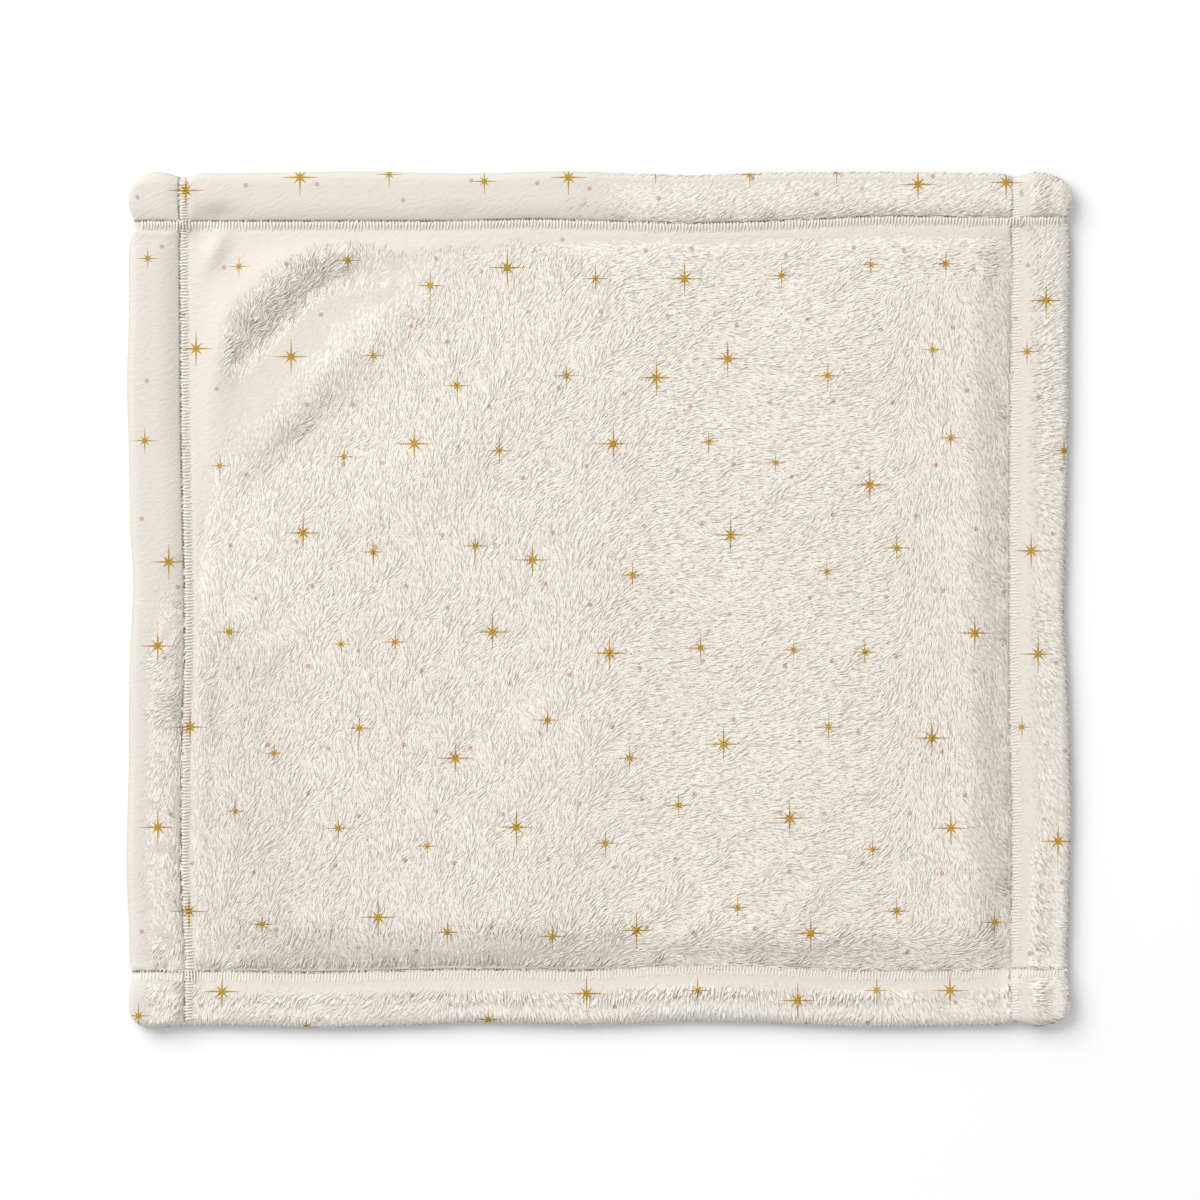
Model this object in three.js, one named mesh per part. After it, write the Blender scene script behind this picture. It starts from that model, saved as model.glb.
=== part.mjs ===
// A plush comfort blanket, laid out flat with its printed face up.
// It is one cut of double-faced plush fleece. All four edges are turned under, the sides first
// and then the top and bottom, so the corners hold four layers. A three-thread ladder seam
// holds each hem and runs from edge to edge: its needle thread crosses the face as a ladder,
// and its two looper threads lie in the groove underneath.
// Millimetres. +X to the right, +Y to the top hem, +Z up, origin under the middle.
import * as THREE from "three";

// The finished blanket
const WIDTH = 440;
const LENGTH = 400;
const CORNER_RADIUS = 11;

// The plush and its turned hem. The layers of a hem lie just clear of each other with their pile
// pressed together, and the seam squeezes them thin in a channel with soft shoulders.
const PLUSH = 6;
const LAYER_GAP = 0.4;
const SEAM_INSET = 25.4;
const CHANNEL_WIDTH = 6.2;
const SHOULDER = 6;
const GROOVE_DEPTH = 1.3;
const HEM_SQUEEZE_SHARE = 0.65;
const SEAM_SQUEEZE_SHARE = 0.2;
const CORNER_SQUEEZE_SHARE = 0.7;

// The dent in the sewn edge where a seam ends
const DENT_DEPTH = 2.4;
const DENT_REACH = 6;

// The two soft ripples near the top left corner. Their crests cross the line that runs down
// from that corner of the field, at these numbers of ripple steps from it.
const RIPPLE_STEP = 31;
const RIPPLE_REACH = 46;
const RIPPLE_SPREAD = 16;
const RIPPLES = [
  { stepShare: 1.5, rise: 6 },
  { stepShare: 2.5, rise: 4 },
];
const RIPPLE_LINES = 3;

// The seams. The ladder is measured between the middles of the thread where it turns, and the
// loopers' cover over its whole width.
const THREAD = 0.45;
const LOOPER_THREAD = 0.25;
const STITCH = 3;
const LADDER_WIDTH = 3.5;
const COVER_WIDTH = 4.6;
const THREAD_CLEARANCE = 0.3;
const SEAM_END_INSET = 6.5;

// A fold is a half round of flat facets
const FOLD_FACETS = 3;
const HALF_TURN = Math.PI;
const foldReachShare = Math.sin((HALF_TURN * Math.floor(FOLD_FACETS / 2)) / FOLD_FACETS);

// The two sides of a layer, as shares of its thickness from its middle
const FACE_SHARE = 0.5;
const BACK_SHARE = -0.5;

const seamOuter = SEAM_INSET - CHANNEL_WIDTH / 2;
const seamInner = SEAM_INSET + CHANNEL_WIDTH / 2;
const hemTopEnd = seamOuter - SHOULDER;
const fieldStart = seamInner + SHOULDER;
const fieldHalfX = WIDTH / 2 - fieldStart;
const fieldHalfY = LENGTH / 2 - fieldStart;

// The cloth from its edge inwards: how thick the plush stays, how far the seam lifts it off the
// ground, and how much of the turned layer is under it. All but the insets are shares.
const PROFILE = [
  { inset: 0, thick: HEM_SQUEEZE_SHARE, lift: 0, turned: 1 },
  { inset: hemTopEnd, thick: HEM_SQUEEZE_SHARE, lift: 0, turned: 1 },
  { inset: seamOuter, thick: SEAM_SQUEEZE_SHARE, lift: 1, turned: 1 },
  { inset: seamInner, thick: SEAM_SQUEEZE_SHARE, lift: 1, turned: 1 },
  { inset: fieldStart, thick: 1, lift: 0, turned: 0 },
];

function between(low, high, share) {
  return low + (high - low) * share;
}

function smooth(value) {
  const share = THREE.MathUtils.clamp(value, 0, 1);
  return share * share * (3 - 2 * share);
}

function profileAt(inset) {
  const next = PROFILE.findIndex((station) => station.inset > inset);
  if (next < 0) return PROFILE[PROFILE.length - 1];
  const a = PROFILE[next - 1];
  const b = PROFILE[next];
  const share = (inset - a.inset) / (b.inset - a.inset);
  return {
    thick: between(a.thick, b.thick, share),
    lift: between(a.lift, b.lift, share),
    turned: between(a.turned, b.turned, share),
  };
}

// The height of the ripples above the ground. They slant up to the right, and die out before
// they reach a seam.
function rippleAt(x, y) {
  const fromLeft = x + fieldHalfX;
  const fromTop = fieldHalfY - y;
  if (fromLeft <= 0 || fromTop <= 0) return 0;
  let height = 0;
  for (const ripple of RIPPLES) {
    const right = fromLeft - ripple.stepShare * RIPPLE_STEP;
    const down = fromTop - ripple.stepShare * RIPPLE_STEP;
    const along = (right - down) * Math.SQRT1_2;
    const aside = (right + down) * Math.SQRT1_2;
    const fall = (along / RIPPLE_REACH) ** 2 + (aside / RIPPLE_SPREAD) ** 2;
    height += ripple.rise * Math.exp(-fall);
  }
  return height * smooth(Math.min(fromLeft, fromTop) / RIPPLE_STEP);
}

// The stack of layers over one place: the thickness of a layer, the step from one layer to the
// next, how much of a second layer the sides and the ends bring, and how high its underside is.
function stackAt(x, y) {
  const across = profileAt(WIDTH / 2 - Math.abs(x));
  const along = profileAt(LENGTH / 2 - Math.abs(y));
  const atCorner = across.turned * along.turned;
  const squeezed = between(1, CORNER_SQUEEZE_SHARE, atCorner);
  const layer = PLUSH * Math.min(across.thick, along.thick) * squeezed;
  return {
    layer,
    step: layer + LAYER_GAP,
    across: across.turned,
    along: along.turned,
    base: GROOVE_DEPTH * Math.max(across.lift, along.lift) + rippleAt(x, y),
  };
}

// How far an edge is drawn in by the end of a seam, at a distance along that edge
function dentAt(here, half) {
  const off = Math.abs(here) - (half - SEAM_INSET);
  return DENT_DEPTH * Math.exp(-((off / DENT_REACH) ** 2));
}

// How far a place is in the rounding of a corner, as a share of its radius
function roundShare(here, half) {
  return Math.max(0, Math.abs(here) - (half - CORNER_RADIUS)) / CORNER_RADIUS;
}

// Moves a place of the square-cornered plan to where it is on the sewn blanket
function inPlan(x, y) {
  const nearX = smooth(1 - (WIDTH / 2 - Math.abs(x)) / seamInner);
  const nearY = smooth(1 - (LENGTH / 2 - Math.abs(y)) / seamInner);
  const overX = roundShare(x, WIDTH / 2);
  const overY = roundShare(y, LENGTH / 2);
  const roundX = CORNER_RADIUS * overX * (1 - Math.sqrt(1 - overY ** 2 / 2));
  const roundY = CORNER_RADIUS * overY * (1 - Math.sqrt(1 - overX ** 2 / 2));
  const inX = nearX * dentAt(y, LENGTH / 2) + roundX;
  const inY = nearY * dentAt(x, WIDTH / 2) + roundY;
  return [x - Math.sign(x) * inX, y - Math.sign(y) * inY];
}

// The lines that divide the cut one way, from raw edge to raw edge. A line on the face has turned
// by nothing and one on the turned layer by a half turn; one on the fold is in between.
function linesOver(half, fieldLines) {
  const insets = [fieldStart, seamInner, seamOuter, hemTopEnd];
  const oneSide = (side) => {
    const line = (inset, turn) => ({ at: side * (half - inset), turn, onFold: false });
    const face = insets.map((inset) => line(inset, 0));
    const under = insets.slice(1).reverse().map((inset) => line(inset, HALF_TURN));
    const fold = [];
    for (let i = 0; i <= FOLD_FACETS; i++)
      fold.push({ at: side * half, turn: (HALF_TURN * i) / FOLD_FACETS, onFold: true });
    return [...face, ...fold, ...under];
  };
  const field = fieldLines.map((at) => ({ at, turn: 0, onFold: false }));
  return [...oneSide(-1).reverse(), ...field, ...oneSide(1)];
}

const rippleSteps = Array.from({ length: RIPPLE_LINES }, (_, i) => (i + 1) * RIPPLE_STEP);
const linesX = linesOver(WIDTH / 2, rippleSteps.map((step) => step - fieldHalfX));
const linesY = linesOver(LENGTH / 2, rippleSteps.map((step) => fieldHalfY - step).reverse());

// How far a fold swings a point that stands off its axis: outwards, and up
function foldSwing(line, radius) {
  const out = line.onFold ? (radius * Math.sin(line.turn)) / foldReachShare : 0;
  return [out, radius * Math.cos(line.turn)];
}

// Where two lines cross, on the face or the back of the layer. The sides turn under first, and
// then the ends turn the whole side stack under once more.
function place(lineX, lineY, sideShare) {
  const stack = stackAt(lineX.at, lineY.at);
  const axisX = stack.step / 2;
  const axisY = ((1 + 2 * stack.across) * stack.step) / 2;
  const startX = lineX.onFold ? WIDTH / 2 - axisX - stack.layer / 2 : Math.abs(lineX.at);
  const startY = lineY.onFold ? LENGTH / 2 - axisY - stack.layer / 2 : Math.abs(lineY.at);
  const [outX, upX] = foldSwing(lineX, axisX + sideShare * stack.layer);
  const [outY, upY] = foldSwing(lineY, axisY + upX - axisX);
  const layers = (1 + stack.across) * (1 + stack.along) - 1;
  const top = stack.base + layers * stack.step + stack.layer / 2;
  const x = Math.sign(lineX.at) * (startX + outX);
  const y = Math.sign(lineY.at) * (startY + outY);
  return [...inPlan(x, y), top + upY - axisY];
}

function closedGeometry(positions, triangles) {
  const geometry = new THREE.BufferGeometry();
  geometry.setAttribute("position", new THREE.Float32BufferAttribute(positions, 3));
  geometry.setIndex(triangles);
  geometry.computeVertexNormals();
  return geometry;
}

// The points along the raw edge of the cut, counterclockwise, as numbers of the lines
function rawEdge(wide, long) {
  const edge = [];
  for (let i = 0; i < wide - 1; i++) edge.push([i, 0]);
  for (let j = 0; j < long - 1; j++) edge.push([wide - 1, j]);
  for (let i = wide - 1; i > 0; i--) edge.push([i, long - 1]);
  for (let j = long - 1; j > 0; j--) edge.push([0, j]);
  return edge;
}

// The whole cut as one closed body: its face, its back and the raw edge between them
function plushGeometry() {
  const positions = [];
  const triangles = [];
  const wide = linesX.length;
  const long = linesY.length;
  for (const sideShare of [FACE_SHARE, BACK_SHARE])
    for (const lineY of linesY)
      for (const lineX of linesX) positions.push(...place(lineX, lineY, sideShare));
  const onFace = ([i, j]) => j * wide + i;
  const onBack = ([i, j]) => wide * long + j * wide + i;
  const quad = (a, b, c, d) => triangles.push(a, b, c, a, c, d);
  for (let j = 0; j < long - 1; j++)
    for (let i = 0; i < wide - 1; i++) {
      const corners = [[i, j], [i + 1, j], [i + 1, j + 1], [i, j + 1]];
      const [a, b, c, d] = corners.map(onBack);
      quad(...corners.map(onFace));
      triangles.push(a, c, b, a, d, c);
    }
  const edge = rawEdge(wide, long);
  edge.forEach((here, i) => {
    const next = edge[(i + 1) % edge.length];
    quad(onBack(here), onBack(next), onFace(next), onFace(here));
  });
  return closedGeometry(positions, triangles);
}

// The two lines of the face on either side of a place, and how far it is from one to the other
function linesAround(lines, here) {
  const face = lines.filter((line) => line.turn === 0 && !line.onFold);
  const next = face.findIndex((line) => line.at > here);
  const high = next < 0 ? face.length - 1 : Math.max(1, next);
  const a = face[high - 1];
  const b = face[high];
  return [a, b, THREE.MathUtils.clamp((here - a.at) / (b.at - a.at), 0, 1)];
}

function topAt(lineX, lineY) {
  return place(lineX, lineY, FACE_SHARE)[2];
}

function undersideAt(lineX, lineY) {
  return stackAt(lineX.at, lineY.at).base;
}

// The height of the cloth over a place, as its flat facets have it
function heightAt(x, y, surfaceAt) {
  const [left, right, shareX] = linesAround(linesX, x);
  const [near, far, shareY] = linesAround(linesY, y);
  const low = between(surfaceAt(left, near), surfaceAt(right, near), shareX);
  const high = between(surfaceAt(left, far), surfaceAt(right, far), shareX);
  return between(low, high, shareY);
}

// The four seams. A side seam runs along Y. An end seam runs along X, and passes over the side
// seams where they cross.
const SEAMS = [
  { name: "left", alongX: false, at: SEAM_INSET - WIDTH / 2 },
  { name: "right", alongX: false, at: WIDTH / 2 - SEAM_INSET },
  { name: "bottom", alongX: true, at: SEAM_INSET - LENGTH / 2 },
  { name: "top", alongX: true, at: LENGTH / 2 - SEAM_INSET },
];

function seamEnd(seam) {
  return (seam.alongX ? WIDTH : LENGTH) / 2 - SEAM_END_INSET;
}

// How far an end seam's thread stands off to pass a side seam's, at a distance along it
function crossingLift(seam, along, threadSize) {
  if (!seam.alongX) return 0;
  const off = Math.abs(Math.abs(along) - (WIDTH / 2 - SEAM_INSET));
  const share = smooth((CHANNEL_WIDTH + SHOULDER - off) / SHOULDER);
  return (threadSize + THREAD_CLEARANCE) * share;
}

// A point of a seam, given along and across it, at a height off one side of the cloth
function seamPoint(seam, along, aside, off, surfaceAt) {
  const x = seam.alongX ? along : seam.at + aside;
  const y = seam.alongX ? seam.at + aside : along;
  return new THREE.Vector3(...inPlan(x, y), heightAt(x, y, surfaceAt) + off);
}

// A closed tube through the points, by rings that stand square to the seam. Each ring is widened
// across the seam by the miter, so that the slanting runs keep the section's full width.
function tubeThrough(points, section, seam, miter) {
  const positions = [];
  const triangles = [];
  const sides = section.length;
  const turned = (a, b, c) => (seam.alongX ? triangles.push(a, c, b) : triangles.push(a, b, c));
  for (const point of points)
    for (const [aside, up] of section) {
      const wide = aside * miter;
      positions.push(point.x + (seam.alongX ? 0 : wide));
      positions.push(point.y + (seam.alongX ? wide : 0));
      positions.push(point.z + up);
    }
  for (let i = 0; i < points.length - 1; i++)
    for (let k = 0; k < sides; k++) {
      const a = i * sides + k;
      const b = i * sides + ((k + 1) % sides);
      turned(a, a + sides, b + sides);
      turned(a, b + sides, b);
    }
  const last = (points.length - 1) * sides;
  for (let k = 1; k < sides - 1; k++) {
    turned(0, k, k + 1);
    turned(last, last + k + 1, last + k);
  }
  return closedGeometry(positions, triangles);
}

// The needle thread goes to and fro over the channel, there and back in each stitch
function needleGeometry(seam) {
  const end = seamEnd(seam);
  const runs = Math.round((4 * end) / STITCH);
  const halfLadder = LADDER_WIDTH / 2;
  const points = [];
  for (let i = 0; i <= runs; i++) {
    const along = between(-end, end, i / runs);
    const off = THREAD_CLEARANCE + crossingLift(seam, along, THREAD);
    points.push(seamPoint(seam, along, i % 2 ? halfLadder : -halfLadder, off, topAt));
  }
  const section = [[-THREAD / 2, 0], [THREAD / 2, 0], [0, THREAD]];
  const miter = Math.hypot(LADDER_WIDTH, STITCH / 2) / (STITCH / 2);
  return tubeThrough(points, section, seam, miter);
}

// Where a looper thread bends: at the cloth's own lines, and where it passes a crossing
function looperStops(seam) {
  const end = seamEnd(seam);
  const lines = seam.alongX ? linesX : linesY;
  const stops = lines.filter((line) => line.turn === 0).map((line) => line.at);
  const crossing = WIDTH / 2 - SEAM_INSET;
  if (seam.alongX)
    for (const reach of [CHANNEL_WIDTH, CHANNEL_WIDTH + SHOULDER])
      stops.push(reach - crossing, -reach - crossing, crossing - reach, crossing + reach);
  const inside = stops.filter((stop) => Math.abs(stop) < end);
  return [...new Set([-end, ...inside, end])].sort((a, b) => a - b);
}

// A looper thread lies flat in the groove underneath, from one distance off the seam's middle
// to another
function looperGeometry(seam, from, to) {
  const points = looperStops(seam).map((along) => {
    const off = THREAD_CLEARANCE + LOOPER_THREAD + crossingLift(seam, along, LOOPER_THREAD);
    return seamPoint(seam, along, (from + to) / 2, -off, undersideAt);
  });
  const half = (to - from) / 2;
  const section = [[-half, 0], [half, 0], [half, LOOPER_THREAD], [-half, LOOPER_THREAD]];
  return tubeThrough(points, section, seam, 1);
}

const blanket = new THREE.Group();
const creamPlush = { color: 0xf0e9de, roughness: 0.95, metalness: 0 };
const creamThread = { color: 0xf4eee4, roughness: 0.7, metalness: 0 };

function addPiece(name, geometry, finish) {
  const mesh = new THREE.Mesh(geometry, new THREE.MeshStandardMaterial(finish));
  mesh.name = name;
  blanket.add(mesh);
}

const coverEdge = COVER_WIDTH / 2;
const straightEdge = coverEdge - LOOPER_THREAD;
const coveredEdge = straightEdge - THREAD_CLEARANCE;

addPiece("plush_panel", plushGeometry(), creamPlush);
for (const seam of SEAMS) {
  const cover = looperGeometry(seam, -coverEdge, coveredEdge);
  const straight = looperGeometry(seam, straightEdge, coverEdge);
  addPiece(`needle_thread_${seam.name}`, needleGeometry(seam), creamThread);
  addPiece(`upper_looper_thread_${seam.name}`, cover, creamThread);
  addPiece(`lower_looper_thread_${seam.name}`, straight, creamThread);
}

export default blanket;
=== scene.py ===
import math
from functools import partial

import bpy
import numpy as np
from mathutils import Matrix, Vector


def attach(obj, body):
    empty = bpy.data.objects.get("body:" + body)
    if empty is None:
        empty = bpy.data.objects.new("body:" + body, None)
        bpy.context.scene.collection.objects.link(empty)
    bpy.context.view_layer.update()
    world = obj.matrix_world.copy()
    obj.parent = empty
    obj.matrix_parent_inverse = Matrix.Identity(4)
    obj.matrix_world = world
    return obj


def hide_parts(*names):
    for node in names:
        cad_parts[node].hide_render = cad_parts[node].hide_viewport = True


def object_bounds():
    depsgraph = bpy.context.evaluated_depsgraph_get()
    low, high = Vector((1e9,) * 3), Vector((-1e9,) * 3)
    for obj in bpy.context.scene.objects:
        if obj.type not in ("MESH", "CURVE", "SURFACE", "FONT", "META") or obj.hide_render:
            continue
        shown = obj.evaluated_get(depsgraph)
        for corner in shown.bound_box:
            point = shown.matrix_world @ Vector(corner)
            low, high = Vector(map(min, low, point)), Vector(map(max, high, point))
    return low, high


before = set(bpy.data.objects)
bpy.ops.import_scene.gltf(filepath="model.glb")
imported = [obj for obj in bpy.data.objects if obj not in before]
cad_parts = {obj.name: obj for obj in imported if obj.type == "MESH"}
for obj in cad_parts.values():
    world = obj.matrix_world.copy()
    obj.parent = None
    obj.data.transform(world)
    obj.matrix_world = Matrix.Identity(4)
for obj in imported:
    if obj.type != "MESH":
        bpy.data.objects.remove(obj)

cad_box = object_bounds()

# The print
# Gold stars and small pink dots, printed on the finished blanket, so they run on across the
# seams. Their places are read in pixels of the photograph's 1200 by 1200 frame, row by row.
MM = 0.001
PIXEL = 0.4666 * MM
PHOTO_MIDDLE = (599.5, 600)

BIG, MIDDLING, SMALL = 18 * PIXEL, 13.5 * PIXEL, 11.5 * PIXEL
STARS = [
    (BIG, [(300, 178), (568, 178), (917, 185), (186, 191), (507, 268), (684, 279)]),
    (BIG, [(1045, 301), (196, 349), (291, 357), (656, 378), (727, 359), (414, 444)]),
    (BIG, [(613, 444), (869, 485), (303, 533), (532, 560), (169, 562), (730, 535)]),
    (BIG, [(1030, 551), (158, 646), (492, 632), (609, 653), (974, 633), (1037, 654)]),
    (BIG, [(190, 727), (455, 758), (723, 744), (931, 738), (158, 827), (516, 827)]),
    (BIG, [(789, 818), (950, 828), (1057, 841), (189, 911), (378, 917), (636, 930)]),
    (BIG, [(810, 933), (222, 991), (586, 993), (797, 1000), (949, 990), (1005, 183)]),
    (MIDDLING, [(389, 175), (484, 182), (655, 172), (749, 175), (836, 172), (348, 261)]),
    (MIDDLING, [(430, 286), (595, 279), (781, 276), (945, 264), (457, 386), (566, 376)]),
    (MIDDLING, [(827, 376), (1026, 352), (145, 441), (499, 451), (950, 438), (1063, 451)]),
    (MIDDLING, [(373, 552), (475, 546), (632, 575), (896, 548), (229, 632), (395, 642)]),
    (MIDDLING, [(700, 648), (864, 652), (359, 728), (547, 720), (629, 758), (828, 727)]),
    (MIDDLING, [(338, 828), (605, 843), (678, 805), (262, 924), (447, 932), (552, 936)]),
    (MIDDLING, [(896, 911), (994, 922), (139, 1015), (697, 990), (876, 990), (306, 1027)]),
    (MIDDLING, [(488, 1019)]),
    (SMALL, [(148, 259), (239, 267), (870, 265), (373, 356), (932, 350), (220, 466)]),
    (SMALL, [(344, 457), (708, 442), (775, 463), (826, 571), (341, 644), (793, 650)]),
    (SMALL, [(274, 753), (1021, 727), (235, 811), (427, 846), (872, 849), (737, 907)]),
]
DOTS = [
    (138, 198), (187, 184), (246, 186), (317, 185), (403, 201), (471, 181), (537, 184), (589, 189),
    (658, 199), (752, 179), (816, 195), (861, 189), (932, 177), (1020, 194), (162, 247), (224, 268),
    (287, 265), (436, 259), (481, 272), (562, 240), (645, 251), (691, 249), (785, 255), (853, 248),
    (903, 250), (973, 270), (1027, 266), (183, 315), (253, 322), (321, 315), (411, 327), (447, 342),
    (528, 312), (600, 312), (667, 316), (736, 326), (807, 320), (880, 330), (952, 328), (1015, 319),
    (147, 381), (217, 389), (307, 405), (353, 405), (437, 400), (489, 407), (558, 388), (624, 394),
    (690, 407), (769, 403), (833, 402), (892, 403), (966, 391), (1037, 397), (184, 447), (458, 447),
    (247, 475), (343, 464), (382, 463), (523, 478), (586, 466), (677, 471), (733, 464), (791, 477),
    (857, 468), (935, 465), (1003, 474), (1061, 470), (142, 519), (230, 545), (297, 542), (375, 547),
    (442, 535), (494, 544), (553, 533), (644, 526), (701, 525), (760, 529), (832, 515), (916, 516),
    (975, 529), (1052, 534), (178, 587), (256, 598), (312, 586), (405, 586), (447, 608), (545, 584),
    (590, 605), (671, 592), (729, 614), (809, 598), (885, 597), (942, 591), (1003, 592), (1064, 611),
    (165, 658), (238, 668), (308, 666), (358, 651), (421, 671), (509, 684), (569, 675), (639, 668),
    (702, 661), (784, 666), (831, 661), (895, 656), (973, 671), (1055, 663), (183, 729), (268, 745),
    (404, 745), (470, 748), (540, 734), (612, 727), (673, 733), (733, 719), (799, 742), (858, 733),
    (1001, 736), (328, 748), (308, 793), (359, 816), (171, 814), (435, 811), (503, 814), (579, 803),
    (641, 799), (694, 794), (780, 813), (824, 813), (909, 813), (964, 795), (941, 752), (1064, 751),
    (1043, 819), (192, 863), (254, 872), (335, 865), (405, 860), (454, 863), (548, 859), (614, 867),
    (675, 859), (726, 867), (789, 871), (862, 863), (941, 873), (1008, 888), (1061, 882), (142, 931),
    (276, 929), (238, 947), (358, 947), (416, 951), (490, 926), (552, 937), (646, 927), (693, 933),
    (754, 928), (837, 942), (907, 952), (992, 928), (1029, 953), (201, 1005), (270, 1016), (318, 1019),
    (412, 995), (450, 1004), (533, 1024), (614, 1006), (675, 996), (733, 996), (805, 1023), (867, 1022),
    (955, 1002), (1014, 1021), (1068, 998),
]


def from_photo(x, y):
    return (x - PHOTO_MIDDLE[0]) * PIXEL, (PHOTO_MIDDLE[1] - y) * PIXEL


def star_places():
    return np.array([(*from_photo(*spot), arm) for arm, row in STARS for spot in row])


def dot_places():
    return np.array([(*from_photo(*spot), 0) for spot in DOTS])


def placed(name, data):
    """A new object in the scene."""
    thing = bpy.data.objects.new(name, data)
    bpy.context.scene.collection.objects.link(thing)
    return thing


def printed_points(name, places):
    mesh = bpy.data.meshes.new(name)
    mesh.from_pydata([(x, y, 0) for x, y, _ in places], [], [])
    mesh.attributes.new("arm", "FLOAT", "POINT").data.foreach_set("value", places[:, 2])
    return placed(name, mesh)


stars = star_places()
dots = dot_places()
star_points = printed_points("printed_stars", stars)
dot_points = printed_points("printed_dots", dots)


def feed(tree, sockets, values):
    """Links or writes each value into its socket."""
    for socket, value in zip(sockets, values):
        if isinstance(value, bpy.types.NodeSocket):
            tree.links.new(value, socket)
        else:
            socket.default_value = value


def math_node(tree, operation, *values, clamp=False):
    """The output of a Math node on numbers and sockets alike."""
    node = tree.nodes.new("ShaderNodeMath")
    node.operation = operation
    node.use_clamp = clamp
    feed(tree, node.inputs, values)
    return node.outputs[0]


def mixed_colour(tree, share, first, second):
    node = tree.nodes.new("ShaderNodeMix")
    node.data_type = "RGBA"
    feed(tree, (node.inputs["Factor"], node.inputs["A"], node.inputs["B"]), (share, first, second))
    return node.outputs["Result"]


def distance_node(tree, x, y):
    """How far a place is from one that is x and y away."""
    squares = (math_node(tree, "MULTIPLY", part, part) for part in (x, y))
    return math_node(tree, "SQRT", math_node(tree, "ADD", *squares))


def object_place(tree):
    return tree.nodes.new("ShaderNodeTexCoord").outputs["Object"]


def attribute_of(tree, name):
    """The outputs of a node that reads the attribute of that name."""
    node = tree.nodes.new("ShaderNodeAttribute")
    node.attribute_name = name
    return node.outputs


def parts_of(tree, vector):
    node = tree.nodes.new("ShaderNodeSeparateXYZ")
    tree.links.new(vector, node.inputs[0])
    return node.outputs


def new_group(name, inputs, outputs):
    tree = bpy.data.node_groups.new(name, "ShaderNodeTree")
    for label, kind, value in inputs:
        socket = tree.interface.new_socket(label, in_out="INPUT", socket_type=kind)
        socket.default_value = value
    for label, kind in outputs:
        tree.interface.new_socket(label, in_out="OUTPUT", socket_type=kind)
    return tree, tree.nodes.new("NodeGroupInput"), tree.nodes.new("NodeGroupOutput")


def offset_from(tree, place, attribute):
    """How far the shaded point is from the print's mark that the named attribute gives."""
    mark = parts_of(tree, attribute_of(tree, attribute)["Vector"])
    x = math_node(tree, "SUBTRACT", place["X"], mark["X"])
    y = math_node(tree, "SUBTRACT", place["Y"], mark["Y"])
    return x, y, mark["Z"]


def star_mask(tree, x, y, arm):
    """A star of four long thin arms, four short slanting points and a small round body."""
    calc = partial(math_node, tree)
    u = calc("DIVIDE", calc("ABSOLUTE", x), arm)
    v = calc("DIVIDE", calc("ABSOLUTE", y), arm)
    longer = calc("MAXIMUM", u, v)
    shorter = calc("MINIMUM", u, v)
    short_of_end = calc("SUBTRACT", 1.0, longer)
    taper = calc("MULTIPLY_ADD", short_of_end, 0.056, 0.008)
    arms = calc("MULTIPLY", calc("SUBTRACT", taper, shorter), 30.0)
    arms = calc("MINIMUM", arms, calc("MULTIPLY", short_of_end, 25.0))
    out = calc("MULTIPLY", calc("ADD", u, v), math.sqrt(0.5))
    aside = calc("MULTIPLY", calc("SUBTRACT", longer, shorter), math.sqrt(0.5))
    narrow = calc("MULTIPLY_ADD", out, -0.19, 0.092)
    points = calc("MULTIPLY", calc("SUBTRACT", narrow, aside), 30.0)
    body = calc("MULTIPLY", calc("SUBTRACT", 0.145, distance_node(tree, u, v)), 20.0)
    shape = calc("MAXIMUM", calc("MAXIMUM", arms, points), body)
    return calc("ADD", shape, 0.5, clamp=True)


def print_group():
    """The printed colour over a plain one."""
    tree, given, result = new_group(
        "star_and_dot_print",
        [
            ("Plain", "NodeSocketColor", (1, 1, 1, 1)),
            ("Gold", "NodeSocketColor", (1, 1, 1, 1)),
            ("Pink", "NodeSocketColor", (1, 1, 1, 1)),
            ("Dot Radius", "NodeSocketFloat", 0.001),
        ],
        [("Color", "NodeSocketColor")],
    )
    place = parts_of(tree, object_place(tree))
    x, y, _ = offset_from(tree, place, "dot")
    share = math_node(tree, "DIVIDE", distance_node(tree, x, y), given.outputs["Dot Radius"])
    dot = math_node(tree, "MULTIPLY_ADD", share, -2.2, 2.6, clamp=True)
    dot = math_node(tree, "MULTIPLY", dot, 0.8)
    star = star_mask(tree, *offset_from(tree, place, "star"))
    colour = given.outputs["Plain"]
    for mask, ink in ((dot, "Pink"), (star, "Gold")):
        colour = mixed_colour(tree, mask, colour, given.outputs[ink])
    tree.links.new(colour, result.inputs["Color"])
    return tree


printed = print_group()

# The plush panel
# One cut of knitted plush with a long pile on its face and a short one on its back. Its four
# edges are turned under by an inch, the sides first and then the top and bottom, so the corners
# hold four layers. This piece is the ground with the dense lower pile, on which the locks stand.
low, high = cad_box
WIDTH = high.x - low.x
LENGTH = high.y - low.y
LAYER = 6 * MM           # one layer of plush with its pile
LAYER_GAP = 0.4 * MM
SEAM_INSET = 25.4 * MM   # from the folded edge to the middle of the seam
SEAM_HALF = 1.9 * MM     # half of the seam's channel
HEM_FALL = 10 * MM       # how far beside the channel the hem slopes, and how far the field does
FIELD_RISE = 14 * MM
SEAM_X = WIDTH / 2 - SEAM_INSET
SEAM_Y = LENGTH / 2 - SEAM_INSET
RAW_EDGE_INSET = 28.5 * MM
RAW_EDGE = 4.5 * MM      # over which the cloth comes down off the turned edge
GROOVE = 1.0 * MM        # how far a seam lifts the underside
LADDER = 4.4 * MM
STITCH = 3 * MM
# The needle hole's radius, and how much darker the cloth is there as painted shade
HOLE_RADIUS = 0.7 * MM
HOLE_SHADE = 0.8
HEM_SHARE = 0.3          # how much thicker cloth lies in a hem
SEAM_SHARE = 0.5         # how much of the thickness is left in a seam
CORNER_SHARE = -0.09
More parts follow.
